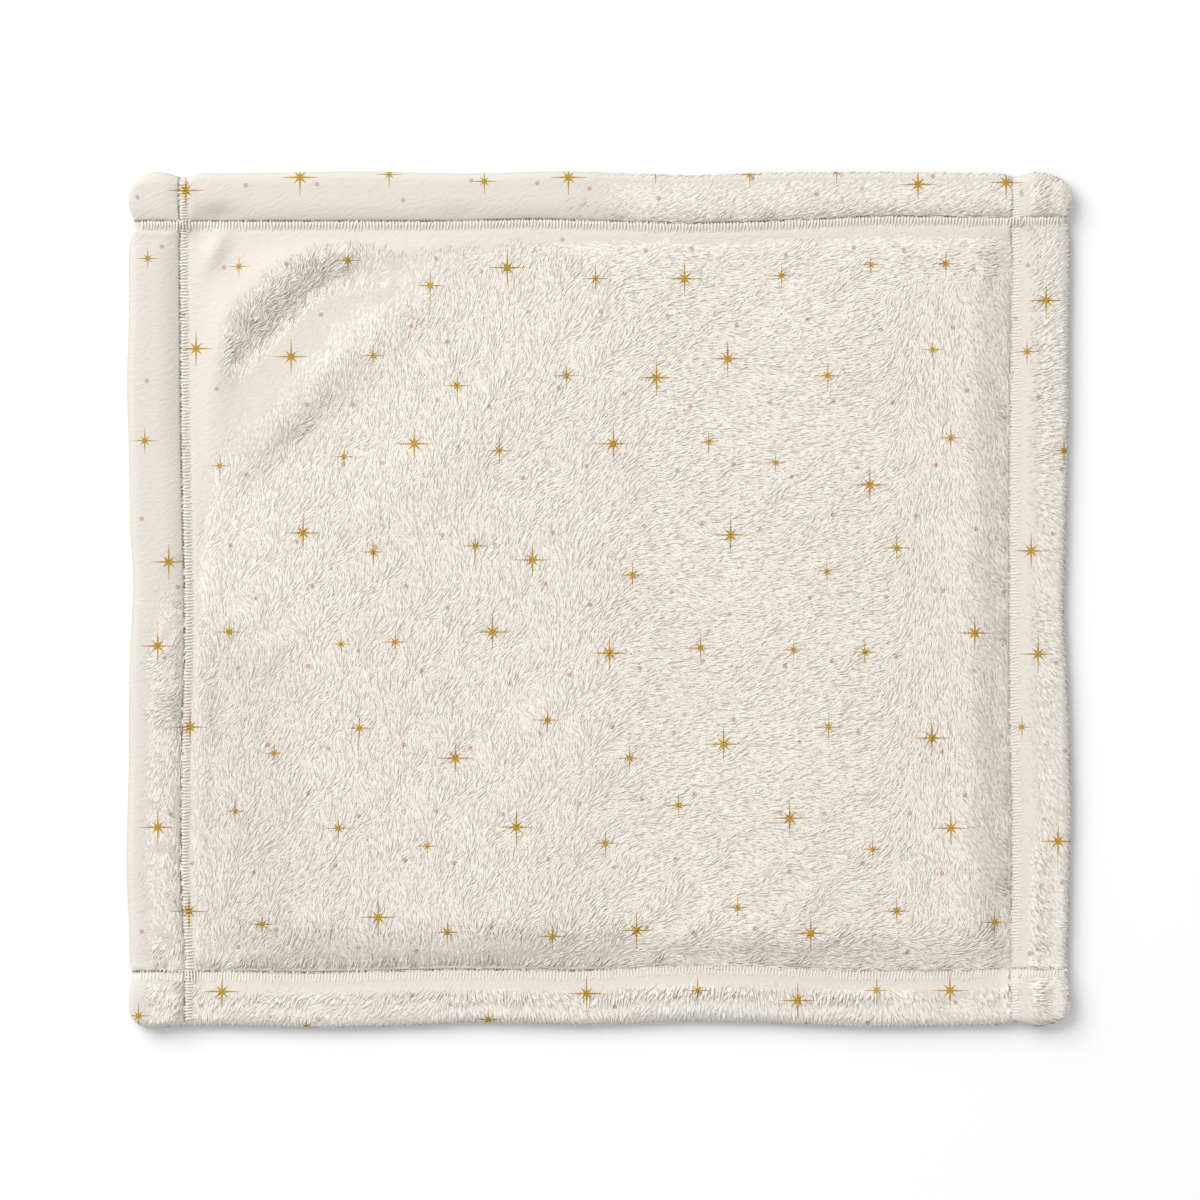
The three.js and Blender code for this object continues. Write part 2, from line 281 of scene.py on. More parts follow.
FOLD_STEPS = 8
FOLD_ROUNDNESS = 1.47 / LAYER     # one over the radius of the folded edge
FACE_BARE = 0.3 * MM     # how deep the ground lies under the tips where the pile is smooth
FACE_DEEP = 1.5 * MM     # and where it is fluffy
BACK_DEEP = 0.7 * MM
LOCK_LENGTH = 6.2 * MM
CREASE = 0.8 * MM
CREASE_HALF = 0.5 * MM
HOLLOW_SHARE = 0.4       # how much thinner the cloth is where it is pressed down, and how much painted shade darkens it
HOLLOW_SHADE = 0.13


def ramp(value, start, end):
    share = np.clip((value - start) / (end - start), 0, 1)
    return share * share * (3 - 2 * share)


def fall(value, start, end):
    return ramp(end - value, 0, end - start)


def mix(low_value, high_value, share):
    return low_value + (high_value - low_value) * share


def waves(x, y, length, seed, count=7):
    """A smooth field of about -1 to 1, from plane waves of about one length in all directions."""
    random = np.random.default_rng(seed)
    total = 0
    for _ in range(count):
        turn, phase = random.uniform(0, 2 * np.pi, 2)
        pace = 2 * np.pi / (length * random.uniform(0.75, 1.35))
        total = total + np.sin((x * np.cos(turn) + y * np.sin(turn)) * pace + phase)
    return total / math.sqrt(count / 2) / 1.6


def insets(x, y):
    """How far in from the finished edges a place is, both ways."""
    return WIDTH / 2 - abs(x), LENGTH / 2 - abs(y)


def photo_xy(x, y):
    return x / PIXEL + PHOTO_MIDDLE[0], PHOTO_MIDDLE[1] - y / PIXEL


# Places in pixels: the inner sides of the hems, the middle that the first ripple bends round, the
# other ripples, the pile on the second one, and the cloth beside it and on the top hem.
HEM_LEFT, HEM_RIGHT, HEM_TOP, HEM_BOTTOM = 184, 1016, 222, 976
BEND_CENTRE = (432, 484)
SECOND_RIPPLE, THIRD_RIPPLE, PUCKER = (318, 388), (420, 480), (214, 250)
RUFFLED_RIPPLE, RIPPLE_HOLLOW = (295, 443), (295, 447)
LARGE_DENT, SMALL_DENT = (220, 217), (462, 214)


def bump_line(px, py, middle, bearing, reach, spread):
    """A long soft bump of height 1 through a pixel, at a bearing in degrees."""
    turn = math.radians(bearing)
    dx, dy = px - middle[0], middle[1] - py
    along = dx * math.cos(turn) + dy * math.sin(turn)
    aside = dy * math.cos(turn) - dx * math.sin(turn)
    return np.exp(-((along / reach) ** 2) - (aside / spread) ** 2)


def far_from_bend(px, py):
    return np.hypot(px - BEND_CENTRE[0], py - BEND_CENTRE[1])


def drape(x, y):
    """How high the lying cloth is off the ground, in the field."""
    px, py = photo_xy(x, y)
    first = far_from_bend(px, py) - 250
    bearing = np.degrees(np.arctan2(BEND_CENTRE[1] - py, px - BEND_CENTRE[0]))
    arc = np.exp(-((first / np.where(first > 0, 34, 24)) ** 2) - ((bearing - 123) / 36) ** 2)
    second = bump_line(px, py, SECOND_RIPPLE, 43, 105, 26)
    third = bump_line(px, py, THIRD_RIPPLE, 40, 90, 34)
    pucker = bump_line(px, py, PUCKER, 62, 22, 9)
    swell = np.maximum(0, 0.55 + 0.45 * waves(x, y, 95 * MM, 3))
    height = 5.6 * arc + 2.4 * second + 1.1 * third + 1.4 * swell
    inset = np.minimum(*insets(x, y))
    height = height * ramp(inset, RAW_EDGE_INSET, RAW_EDGE_INSET + 18 * MM) + 2.8 * pucker
    return height * MM


def fluff_at(x, y):
    """How much the pile is ruffled, from 0, combed smooth, to 1, and a little more on a ripple."""
    px, py = photo_xy(x, y)
    diagonal = (px - 190) + (py - 230)
    uneven = diagonal + 12 * waves(x, y, 60 * MM, 5) + 12 * waves(x, y, 22 * MM, 7)
    field = 0.02 + 0.33 * ramp(uneven, 215, 268) + 0.5 * ramp(uneven, 268, 325)
    field = field + 0.15 * ramp(diagonal + 30 * waves(x, y, 60 * MM, 6), 305, 430)
    to_top = ramp(px, 330, 400)
    off = far_from_bend(px, py) - 233 + 18 * to_top
    arc = np.exp(-((off / 24) ** 4)) * (1 - 0.7 * to_top)
    arc = arc * ramp(px, 212, 232) * fall(px, 350, 430) * fall(py, 345, 405)
    lower = ramp(py, 520, 680)
    field = field * mix(0.8 + 0.2 * ramp(px, 215, 360), 1, lower)
    field = field * (0.25 + 0.75 * ramp(px, 188, mix(218, 208, lower)))
    field = np.maximum(field, 1.35 * arc)
    field = np.maximum(field, 1.2 * bump_line(px, py, RUFFLED_RIPPLE, 45, 75, 16))
    below_seam = py - 10 * fall(px, 480, 600)
    field = field * (0.1 + 0.9 * ramp(below_seam, 234, 262))
    left_hem = 0.04 + 0.75 * ramp(px, 140, 166) * ramp(py, 520, 720)
    left_hem = mix(left_hem, 0.75 * ramp(px, 138, 158), py > HEM_BOTTOM)
    at_ends = np.maximum(py < HEM_TOP, ramp(py, 800, 880))
    right_hem = 0.15 + 0.85 * ramp(px, 1030 - 8 * at_ends, 1056 - 14 * at_ends)
    top_hem = 0.04 + 0.6 * ramp(px, 540, 700)
    first = 984 + 9 * waves(x, 0 * y, 70 * MM, 71)
    bottom_hem = 0.2 + 0.26 * ramp(py, first, first + 14) + 0.44 * ramp(py, 998, 1018)
    fluff = np.where(py < HEM_TOP, top_hem, np.where(py > HEM_BOTTOM, bottom_hem, field))
    fluff = np.where(px < HEM_LEFT, left_hem, fluff)
    return np.clip(np.where(px > HEM_RIGHT, right_hem, fluff), 0.02, 1.35)


# How the pile lies along two hems: pairs of a place along the hem and an angle there.
RIGHT_HEM_COMBING = [
    (222, 30), (260, 40), (330, 25), (450, 5), (560, -60), (620, -42), (700, -55), (850, -60),
    (960, -20),
]
BOTTOM_HEM_COMBING = [
    (200, -110), (330, -130), (440, -125), (475, -65), (520, -90), (580, -60), (640, -115),
    (700, -90), (775, -70), (840, -120), (900, -55), (1000, -65),
]


def flow_at(x, y):
    """The way the pile is combed, as an angle from +X."""
    px, py = photo_xy(x, y)
    turn = mix(74, 8, ramp(px, 540, 665))
    steep = ramp(py, 275, 305) * fall(py, 920, 950)
    turn = mix(turn, 92, ramp(px, 850, 925) * steep)
    turn = mix(turn, 122, ramp(px, 940, 985) * steep)
    turn = mix(turn, 8, fall(py, 240, 270) * ramp(px, 400, 460))
    on_top = fall(py, HEM_TOP - 4, HEM_TOP)
    on_bottom = ramp(py, HEM_BOTTOM - 2, HEM_BOTTOM + 2)
    on_right = ramp(px, HEM_RIGHT + 2, HEM_RIGHT + 6)
    on_hem = np.maximum(on_top, np.maximum(on_bottom, on_right))
    turn = mix(turn, mix(85, 25, ramp(px, 250, 330)), on_top)
    turn = mix(turn, 55, on_bottom * fall(px, HEM_LEFT - 4, HEM_LEFT))
    turn = mix(turn, np.interp(py, *zip(*RIGHT_HEM_COMBING)), on_right)
    between_sides = fall(px, HEM_RIGHT - 2, HEM_RIGHT + 2) * ramp(px, HEM_LEFT - 2, HEM_LEFT + 2)
    turn = mix(turn, np.interp(px, *zip(*BOTTOM_HEM_COMBING)), on_bottom * between_sides)
    calm = ramp(px, 600, 680) * fall(py, 810, 870)
    wander = (1 - 0.45 * calm) * (18 * waves(x, y, 75 * MM, 21) + 26 * waves(x, y, 26 * MM, 22))
    squiggly = fall(px, 320, 380) * fall(py, 320, 380)
    wander = wander + (16 + 20 * squiggly) * waves(x, y, 11 * MM, 23)
    return np.radians(turn + wander * (1 - 0.4 * on_hem))


def covered_at(x, y):
    """The fluff where locks lie over the ground, which starts most of a lock off the first roots."""
    turn = flow_at(x, y)
    behind = fluff_at(x - 0.8 * LOCK_LENGTH * np.cos(turn), y - 0.8 * LOCK_LENGTH * np.sin(turn))
    return np.minimum(fluff_at(x, y), behind)


def section(inset):
    """How far a place is in the seam, how much is turned under it, and if it is in the hem."""
    off = inset - SEAM_INSET
    reach = np.where(off < 0, HEM_FALL, FIELD_RISE)
    seam = (1 - np.clip((abs(off) - SEAM_HALF) / reach, 0, 1)) ** 2.2
    turned = 1 - ramp(inset, RAW_EDGE_INSET, RAW_EDGE_INSET + RAW_EDGE)
    return seam, turned, 1 - ramp(inset, SEAM_INSET - SEAM_HALF, SEAM_INSET + SEAM_HALF)


def crease_at(x, y):
    """How deep the needle thread draws the cloth in along the upper or left side of each ladder."""
    off_x = np.minimum(abs(x - SEAM_X + LADDER / 2), abs(x + SEAM_X + LADDER / 2))
    off_y = np.minimum(abs(y - SEAM_Y - LADDER / 2), abs(y + SEAM_Y - LADDER / 2))
    depth = np.maximum(np.exp(-((off_x / CREASE_HALF) ** 2)), np.exp(-((off_y / CREASE_HALF) ** 2)))
    return CREASE * depth * (0.75 + 0.35 * waves(x, y, 12 * MM, 61))


# Patches where the cloth is pressed down and darkened with painted shade: how much, and the pixels
# between which each of their left, right, top and bottom sides fades. The first two lie along the
# right and bottom seams, the third in the lower left of the field and the last on the left hem.
PRESSED_PATCHES = [
    (1, (972, 1010), (1010, 1034), (222, 270), (966, 980)),
    (1, (182, 300), (1000, 1014), (934, 969), (970, 994)),
    (0.55, (188, 215), (270, 340), (600, 700), (950, 970)),
    (0.25, (150, 178), (180, 188), (232, 262), (420, 480)),
]


def hollow_at(x, y):
    """Where the cloth is pressed down more, which sinks it and darkens it with painted shade: in
    patches, on the top hem and by the ripples.
    """
    px, py = photo_xy(x, y)
    places = [
        much * ramp(px, *left) * fall(px, *right) * ramp(py, *top) * fall(py, *bottom)
        for much, left, right, top, bottom in PRESSED_PATCHES]
    dents = bump_line(px, py, LARGE_DENT, 0, 20, 12)
    places.append(dents + 0.3 * bump_line(px, py, SMALL_DENT, 0, 16, 10))
    bent = np.exp(-(((far_from_bend(px, py) - 222) / 22) ** 2))
    places.append(0.35 * bent * ramp(px, 212, 232) * fall(px, 320, 400) * fall(py, 345, 405))
    places.append(0.45 * bump_line(px, py, RIPPLE_HOLLOW, 45, 72, 20))
    return np.maximum.reduce(np.broadcast_arrays(*places))


def whole_height(seam_x, seam_y, hem_x, hem_y):
    """The height of all layers together, squeezed where a seam runs through them. Where two seams
    cross, both squeeze them."""
    in_open = (1 + HEM_SHARE * hem_x) * (1 + HEM_SHARE * hem_y) * (1 + CORNER_SHARE * hem_x * hem_y)
    left_x = mix(1, SEAM_SHARE + 0.15 * hem_y, seam_x)
    left_y = mix(1, SEAM_SHARE + 0.15 * hem_x, seam_y)
    return LAYER * in_open * (left_x ** -6.0 + left_y ** -6.0 - 1) ** (-1 / 6)


def bare_at(inset):
    """Where the seam's stitches hold the pile down."""
    return 1 - ramp(abs(inset - SEAM_INSET), LADDER / 2 - 1.0 * MM, LADDER / 2 + 0.2 * MM)


# How far each corner's notches draw the outline in, in mm, and the rounding of the corner. Then
# how the seams and the outline wander, in pixels: where they would be straight, and pairs of a
# place along them and where they are there.
NOTCHES = {
    (-1, 1): (2.8, 3.3),
    (1, 1): (2.8, 3.4),
    (-1, -1): (1.2, 1.9),
    (1, -1): (2.4, 2.0),
}
ROUNDING = {(-1, 1): 14, (1, 1): 16, (-1, -1): 11, (1, -1): 13}
NOTCH_REACH = 6 * MM
EDGE_WAVE = 0.2 * MM
BENDS_LEFT = 177.7, [
    (171, 179), (300, 180), (460, 181.6), (590, 184), (660, 184.5), (730, 182), (870, 181),
    (960, 185),
]
BENDS_RIGHT = 1011.9, [
    (171, 1010.5), (300, 1011), (450, 1009), (740, 1009), (800, 1011), (900, 1011), (960, 1009),
]
BENDS_TOP = 221.6, [
    (180, 222), (445, 222), (530, 220), (690, 224), (760, 222.5), (880, 217), (1010, 218),
]
BENDS_BOTTOM = 969.5, [
    (180, 971), (308, 972.5), (445, 969.5), (575, 970.5), (620, 969), (650, 966.5), (700, 964.8),
    (760, 965.3), (800, 968), (850, 970.5), (950, 970), (1010, 968),
]
OUTLINE_LEFT = 128, [
    (200, 128), (315, 128.2), (375, 126), (465, 128.2), (530, 128.5), (560, 131), (590, 131.7),
    (640, 129), (715, 128), (880, 125.8), (940, 128), (1000, 128.2),
]
OUTLINE_RIGHT = 1071, [
    (200, 1072.5), (265, 1071.7), (415, 1071), (515, 1068.5), (615, 1066), (660, 1068.5),
    (715, 1071.7), (815, 1072.5), (915, 1071), (960, 1069), (1000, 1070.7),
]
OUTLINE_TOP = 171.4, [
    (150, 171.5), (220, 172.5), (350, 171), (465, 173), (560, 171), (690, 173.5), (780, 170.5),
    (880, 171), (985, 172.5), (1040, 171),
]
OUTLINE_BOTTOM = 1028.6, [
    (155, 1029), (220, 1027), (345, 1029.5), (430, 1027), (470, 1024.5), (580, 1027.5),
    (690, 1023.5), (760, 1025), (870, 1029.5), (980, 1028), (1045, 1027),
]
BEND_REACH = 16 * MM


def bend(at, off, readings):
    """How far a seam and the cloth beside it wander off its straight line, as the readings say."""
    straight, pairs = readings
    places, found = np.array(pairs, float).T
    share = np.exp(-((off / BEND_REACH) ** 2))
    return share * (np.interp(at, places, found) - straight) * PIXEL


def in_plan(x, y):
    """Moves a place of the square-cornered plan to where it is on the sewn blanket."""
    px, py = photo_xy(x, y)
    aside = bend(py, x + SEAM_X, BENDS_LEFT) + bend(py, x - SEAM_X, BENDS_RIGHT)
    aside = aside + bend(py, x + WIDTH / 2, OUTLINE_LEFT)
    aside = aside + bend(py, x - WIDTH / 2, OUTLINE_RIGHT)
    upward = bend(px, y - SEAM_Y, BENDS_TOP) + bend(px, y + SEAM_Y, BENDS_BOTTOM)
    upward = upward + bend(px, y - LENGTH / 2, OUTLINE_TOP)
    upward = upward + bend(px, y + LENGTH / 2, OUTLINE_BOTTOM)
    near_x = ramp(abs(x), WIDTH / 2 - RAW_EDGE_INSET, WIDTH / 2)
    near_y = ramp(abs(y), LENGTH / 2 - RAW_EDGE_INSET, LENGTH / 2)
    in_x = near_x * EDGE_WAVE * waves(0.4 * x, y, 70 * MM, 41)
    in_y = near_y * EDGE_WAVE * waves(x, 0.4 * y, 70 * MM, 42)
    for (side_x, side_y), (top_notch, side_notch) in NOTCHES.items():
        here = (np.sign(x) == side_x) & (np.sign(y) == side_y)
        off_x = (abs(x) - SEAM_X) / NOTCH_REACH
        off_y = (abs(y) - SEAM_Y) / NOTCH_REACH
        in_y = in_y + here * near_y * top_notch * MM * np.exp(-(off_x ** 2))
        in_x = in_x + here * near_x * side_notch * MM * np.exp(-(off_y ** 2))
        radius = ROUNDING[side_x, side_y] * MM
        over_x = np.maximum(0, abs(x) - (WIDTH / 2 - radius)) / radius
        over_y = np.maximum(0, abs(y) - (LENGTH / 2 - radius)) / radius
        in_x = in_x + here * radius * over_x * (1 - np.sqrt(1 - over_y ** 2 / 2))
        in_y = in_y + here * radius * over_y * (1 - np.sqrt(1 - over_x ** 2 / 2))
    return x - np.sign(x) * in_x + aside, y - np.sign(y) * in_y - upward


EVEN_INSET = 38 * MM     # from where the lines stand at an even pitch
FIELD_PITCH = 3 * MM


def lines_over(half, pitch):
    """Where the cut is divided one way: the place, the turn of the fold, and the kind of stretch."""
    insets = [36, 33.5, 31.5, 30, 28.8, 28.2, 27.6, 27, 26.4, 25.4, 24.4, 23.8, 23.2, 22.6, 22]
    insets += [20.8, 19.2, 17.6, 16, 14, 12, 10, 8.2, 6.6]
    hem = [(half - inset * MM, 0, "hem") for inset in insets]
    fold = [(half, math.pi * i / FOLD_STEPS, "fold") for i in range(FOLD_STEPS + 1)]
    insets = [8.5, 12, 15.3, 17.6, 20, 22.3, 25.4, 28.5]
    under = [(half - inset * MM, math.pi, "under") for inset in insets]
    side = hem + fold + under
    start = half - EVEN_INSET
    count = round(2 * start / pitch)
    field = [(start * (2 * i / count - 1), 0, "field") for i in range(count + 1)]
    return [(-at, turn, kind) for at, turn, kind in reversed(side)] + field + side


def as_grid(lines_x, lines_y):
    """The lines of both ways as whole arrays, one row for each line along Y."""
    x, turn_x, kind_x = (np.array(column)[None, :] for column in zip(*lines_x))
    y, turn_y, kind_y = (np.array(column)[:, None] for column in zip(*lines_y))
    return x, y, turn_x, turn_y, kind_x == "fold", kind_y == "fold"


def folded(grid, face):
    """Where the grid's points are on the face of the cut, or on its back."""
    x, y, turn_x, turn_y, fold_x, fold_y = grid
    inset_x, inset_y = insets(x, y)
    seam_x, turned_x, hem_x = section(inset_x)
    seam_y, turned_y, hem_y = section(inset_y)
    whole = whole_height(seam_x, seam_y, hem_x, hem_y) * (1 - HOLLOW_SHARE * hollow_at(x, y))
    layer = whole / (1 + turned_x) / (1 + turned_y)
    step = layer + LAYER_GAP
    seam = np.maximum(seam_x, seam_y)
    base = GROOVE * seam + drape(x, y)
    deep = mix(FACE_BARE, FACE_DEEP, covered_at(x, y)) * (1 - 0.85 * seam)
    side = layer / 2 - deep if face else -(layer / 2 - np.minimum(BACK_DEEP, 0.3 * layer))
    axis_x = step / 2
    axis_y = (1 + 2 * turned_x) * step / 2
    start_x = np.where(fold_x, WIDTH / 2 - axis_x - layer / 2, abs(x))
    start_y = np.where(fold_y, LENGTH / 2 - axis_y - layer / 2, abs(y))
    reach_x = axis_x + side
    out_x = np.where(fold_x, reach_x * np.sin(turn_x), 0)
    up_x = reach_x * np.cos(turn_x)
    reach_y = axis_y + up_x - axis_x
    out_y = np.where(fold_y, reach_y * np.sin(turn_y), 0)
    up_y = reach_y * np.cos(turn_y)
    layers = (1 + turned_x) * (1 + turned_y) - 1
    z = base + layers * step + layer / 2 + up_y - axis_y
    z = z - face * crease_at(x, y) * (turn_x + turn_y == 0)
    plan_x, plan_y = in_plan(np.sign(x) * (start_x + out_x), np.sign(y) * (start_y + out_y))
    return np.stack(np.broadcast_arrays(plan_x, plan_y, z), -1)


lines_x = lines_over(WIDTH / 2, FIELD_PITCH)
lines_y = lines_over(LENGTH / 2, FIELD_PITCH)
grid = as_grid(lines_x, lines_y)
face_points = folded(grid, True)
back_points = folded(grid, False)
columns, rows = len(lines_x), len(lines_y)
cut_x, cut_y = np.broadcast_arrays(grid[0], grid[1])
held = np.maximum(*map(bare_at, insets(cut_x, cut_y)))
hollow_shading = hollow_at(cut_x, cut_y)


def of_length_one(ways):
    return ways / (np.linalg.norm(ways, axis=-1, keepdims=True) + 1e-9)


OUTWARD_FROM, OUTWARD_TO = 12 * MM, 4 * MM     # off the edge, where the pile turns outwards
OUTWARD_SHARE = 0.3
LEAST_ROOM = 0.2


def combing():
    """The way the pile lies along the cloth at each point of the face, how much of that goes over a
    fold, and the share of a lock's length that there is room for before the ladder it points to."""
    right = of_length_one(np.gradient(face_points, axis=1))
    ahead = of_length_one(np.gradient(face_points, axis=0))
    x, y = cut_x, cut_y
    angle = flow_at(x, y)[..., None]
    flow = np.cos(angle) * right + np.sin(angle) * ahead
    edge_x = ramp(abs(x), WIDTH / 2 - OUTWARD_FROM, WIDTH / 2 - OUTWARD_TO)[..., None]
    edge_y = ramp(abs(y), LENGTH / 2 - OUTWARD_FROM, LENGTH / 2 - OUTWARD_TO)[..., None]
    out = edge_x * np.sign(x)[..., None] * right + edge_y * np.sign(y)[..., None] * ahead
    hem_x = (np.sign(x) * (abs(x) > SEAM_X))[..., None]
    hem_y = (np.sign(y) * (abs(y) > SEAM_Y))[..., None]
    outward = hem_x * right + hem_y * ahead
    flow = flow * np.where((flow * outward).sum(-1, keepdims=True) < 0, -1, 1)
    share = np.maximum(edge_x, edge_y) * OUTWARD_SHARE
    flow = of_length_one(flow * (1 - share) + out * share)
    over_fold = grid[4] * (flow * right).sum(-1) ** 2 + grid[5] * (flow * ahead).sum(-1) ** 2
    room = np.ones_like(x)
    for way, place, seam in ((right, x, SEAM_X), (ahead, y, SEAM_Y)):
        off = abs(place) - seam
        toward = np.maximum(0.1, -(flow * way).sum(-1) * np.sign(off) * np.sign(place))
        gap = np.maximum(abs(off) - LADDER / 2, 0) + np.where(off < 0, 1.2 * MM, 0)
        room = np.where(toward > 0.1, np.minimum(room, gap / (1.3 * LOCK_LENGTH * toward)), room)
    return flow, np.minimum(over_fold, 1), np.maximum(room, LEAST_ROOM)


SHORTEST_SHARE = 0.4     # of a lock on the fold, which a long one would stand off

# The numbers of the parts that the pile is made in. The next part to the right, or else to the
# top, has the next number, and the field has three parts in a row.
NO_PILE = 0
FIELD_PART = 1
SIDE_HEM, END_HEM = 7, 9
TURNED_SIDE, TURNED_END = 20, 22
BACK_PART = 30


def panel_faces():
    """The faces of the panel, and for each the part of the blanket that it belongs to."""
    faces, parts = [], []
    kind_x = [kind for _, _, kind in lines_x]
    kind_y = [kind for _, _, kind in lines_y]
    back = columns * rows
    thirds = (-WIDTH / 9, WIDTH / 9)
    for j in range(rows - 1):
        for i in range(columns - 1):
            a, d = j * columns + i, (j + 1) * columns + i
            b, c = a + 1, d + 1
            kinds = {kind_x[i], kind_x[i + 1]}, {kind_y[j], kind_y[j + 1]}
            under = "under" in kinds[0], "under" in kinds[1]
            middle = (lines_x[i][0] + lines_x[i + 1][0]) / 2, (lines_y[j][0] + lines_y[j + 1][0]) / 2
            in_x = abs(middle[0]) < SEAM_X
            in_y = abs(middle[1]) < SEAM_Y
            side_x, side_y = middle[0] > 0, middle[1] > 0
            if under[0] and (under[1] or not in_y):
                part = NO_PILE
            elif under[0]:
                part = TURNED_SIDE + side_x
            elif under[1]:
                part = TURNED_END + side_y
            elif in_x and in_y:
                third = int(middle[0] > thirds[0]) + int(middle[0] > thirds[1])
                part = FIELD_PART + third + 3 * side_y
            elif in_y:
                part = SIDE_HEM + side_x
            else:
                part = END_HEM + side_y
            faces += [(a, b, c, d), (back + a, back + d, back + c, back + b)]
            in_field = "field" in kinds[0] and "field" in kinds[1]
            parts += [part, BACK_PART + side_x if in_field else NO_PILE]
    edge = [(i, 0) for i in range(columns - 1)]
    edge += [(columns - 1, j) for j in range(rows - 1)]
    edge += [(i, rows - 1) for i in range(columns - 1, 0, -1)]
    edge += [(0, j) for j in range(rows - 1, 0, -1)]
    numbers = [j * columns + i for i, j in edge]
    for here, there in zip(numbers, numbers[1:] + numbers[:1]):
        faces.append((back + here, back + there, there, here))
        parts.append(NO_PILE)
    return faces, parts


SPOTS_AT_ONCE = 4096     # which keeps the table of distances small


def nearest(places, spots):
    """For each spot, the place of the print's nearest mark."""
    found = np.empty((len(spots), 3), np.float32)
    for start in range(0, len(spots), SPOTS_AT_ONCE):
        block = slice(start, start + SPOTS_AT_ONCE)
        off = spots[block, None, :2] - places[None, :, :2]
        found[block] = places[np.argmin((off ** 2).sum(-1), 1)]
    return found


def store(mesh, name, kind, domain, values):
    attribute = mesh.attributes.new(name, kind, domain)
    key = "vector" if kind == "FLOAT_VECTOR" else "value"
    attribute.data.foreach_set(key, np.ascontiguousarray(values).ravel())


def both_sides(values):
    return np.stack([values, values])


def panel_mesh():
    """The panel, with what the pile on it and its material need to know of each point."""
    faces, parts = panel_faces()
    mesh = bpy.data.meshes.new("plush_ground")
    points = np.concatenate([face_points.reshape(-1, 3), back_points.reshape(-1, 3)])
    mesh.from_pydata(points.tolist(), [], faces)
    mesh.polygons.foreach_set("use_smooth", [True] * len(faces))
    x, y = cut_x, cut_y
    flow, over_fold, room = combing()
    back_flow = np.stack([np.sin(4 * y / LENGTH), -np.ones_like(x), np.zeros_like(x)], -1)
    cut = np.stack([x, y, np.zeros_like(x)], -1)
    store(mesh, "part", "INT", "FACE", parts)
    store(mesh, "cut", "FLOAT_VECTOR", "POINT", np.stack([cut, 0 * cut]))
    store(mesh, "flow", "FLOAT_VECTOR", "POINT", np.stack([flow, back_flow]))
    # The hollows, which also darken the locks on them as painted shade
    store(mesh, "pressed", "FLOAT", "POINT", np.stack([hollow_shading, 0 * hollow_shading]))
    store(mesh, "fluff", "FLOAT", "POINT", both_sides(fluff_at(x, y)))
    store(mesh, "bare", "FLOAT", "POINT", both_sides(held))
    inset = np.minimum(*insets(x, y))
    reach = np.minimum(room, np.clip(inset / (1.6 * LOCK_LENGTH), SHORTEST_SHARE, 1))
    turned_down = np.maximum(grid[2], grid[3]) > 0.55 * math.pi
    reach = np.where(turned_down, 0.5 * SHORTEST_SHARE, reach)
    store(mesh, "reach", "FLOAT", "POINT", both_sides(reach))
    store(mesh, "roundness", "FLOAT", "POINT", both_sides(over_fold * FOLD_ROUNDNESS))
    middles = np.array([points[list(face)].mean(0) for face in faces])
    corners = np.repeat(np.arange(len(faces)), 4)
    store(mesh, "star", "FLOAT_VECTOR", "CORNER", nearest(stars, middles)[corners])
    store(mesh, "dot", "FLOAT_VECTOR", "CORNER", nearest(dots, middles)[corners])
    return mesh


ground = placed("plush_ground", panel_mesh())

CREAM = (0.93, 0.873, 0.798, 1)
GOLD = (0.57, 0.34, 0.045, 1)
PINK = (0.66, 0.42, 0.37, 1)
DOT_RADIUS = 1.1 * MM
# Painted shade: the smooth cloth is darkened to the shade that the ruffled pile casts on itself, the
# ground between the locks more, and the sides of the folds as they turn down away from the light
SMOOTH_SHADE, ROOT_SHADE, FOLD_SHADE = 0.71, 0.66, 0.84


def noise_node(tree, place, size, detail=2):
    """The outputs of a noise with patches of about one size."""
    node = tree.nodes.new("ShaderNodeTexNoise")
    node.inputs["Detail"].default_value = detail
    feed(tree, (node.inputs["Vector"], node.inputs["Scale"]), (place, 1 / size))
    return node.outputs


def painted_hole_shade_group():
    """Painted shade where the needle goes in along the upper or left side of the ladders, which the
    channel's wall keeps from the light: 1 in a hole, 0 away from it.
    """
    tree, given, result = new_group(
        "painted_needle_hole_shade",
        [
            ("Width", "NodeSocketFloat", WIDTH),
            ("Length", "NodeSocketFloat", LENGTH),
            ("Inset", "NodeSocketFloat", SEAM_INSET),
            ("Ladder", "NodeSocketFloat", LADDER),
            ("Pitch", "NodeSocketFloat", STITCH / 2),
            ("Radius", "NodeSocketFloat", HOLE_RADIUS),
        ],
        [("Hole", "NodeSocketFloat")],
    )
    calc = partial(math_node, tree)
    where = attribute_of(tree, "cut")["Vector"]
    place = parts_of(tree, where)
    found = 0.0
    for across, along, size in (("X", "Y", "Width"), ("Y", "X", "Length")):
        line = calc("SUBTRACT", calc("MULTIPLY", given.outputs[size], 0.5), given.outputs["Inset"])
        reach = calc("MULTIPLY", given.outputs["Ladder"], 0.5 if across == "X" else -0.5)
        off = calc("SUBTRACT", calc("ABSOLUTE", calc("ADD", place[across], reach)), line)
        turn = calc("PINGPONG", place[along], calc("MULTIPLY", given.outputs["Pitch"], 0.5))
        share = calc("DIVIDE", distance_node(tree, off, turn), given.outputs["Radius"])
        hole = calc("MULTIPLY_ADD", share, -1.0, 1.4, clamp=True)
        found = calc("MAXIMUM", found, hole)

    # The painted shade shows only here and there, and less in the right seam.
    patchy = noise_node(tree, where, 3.5 * MM)["Fac"]
    share = calc("MULTIPLY_ADD", patchy, 3.5, -0.8, clamp=True)
    right = calc("GREATER_THAN", place["X"], 0.4 * WIDTH)
    share = calc("MULTIPLY", share, calc("MULTIPLY_ADD", right, -0.4, 1.0))
    tree.links.new(calc("MULTIPLY", found, share), result.inputs["Hole"])
    return tree


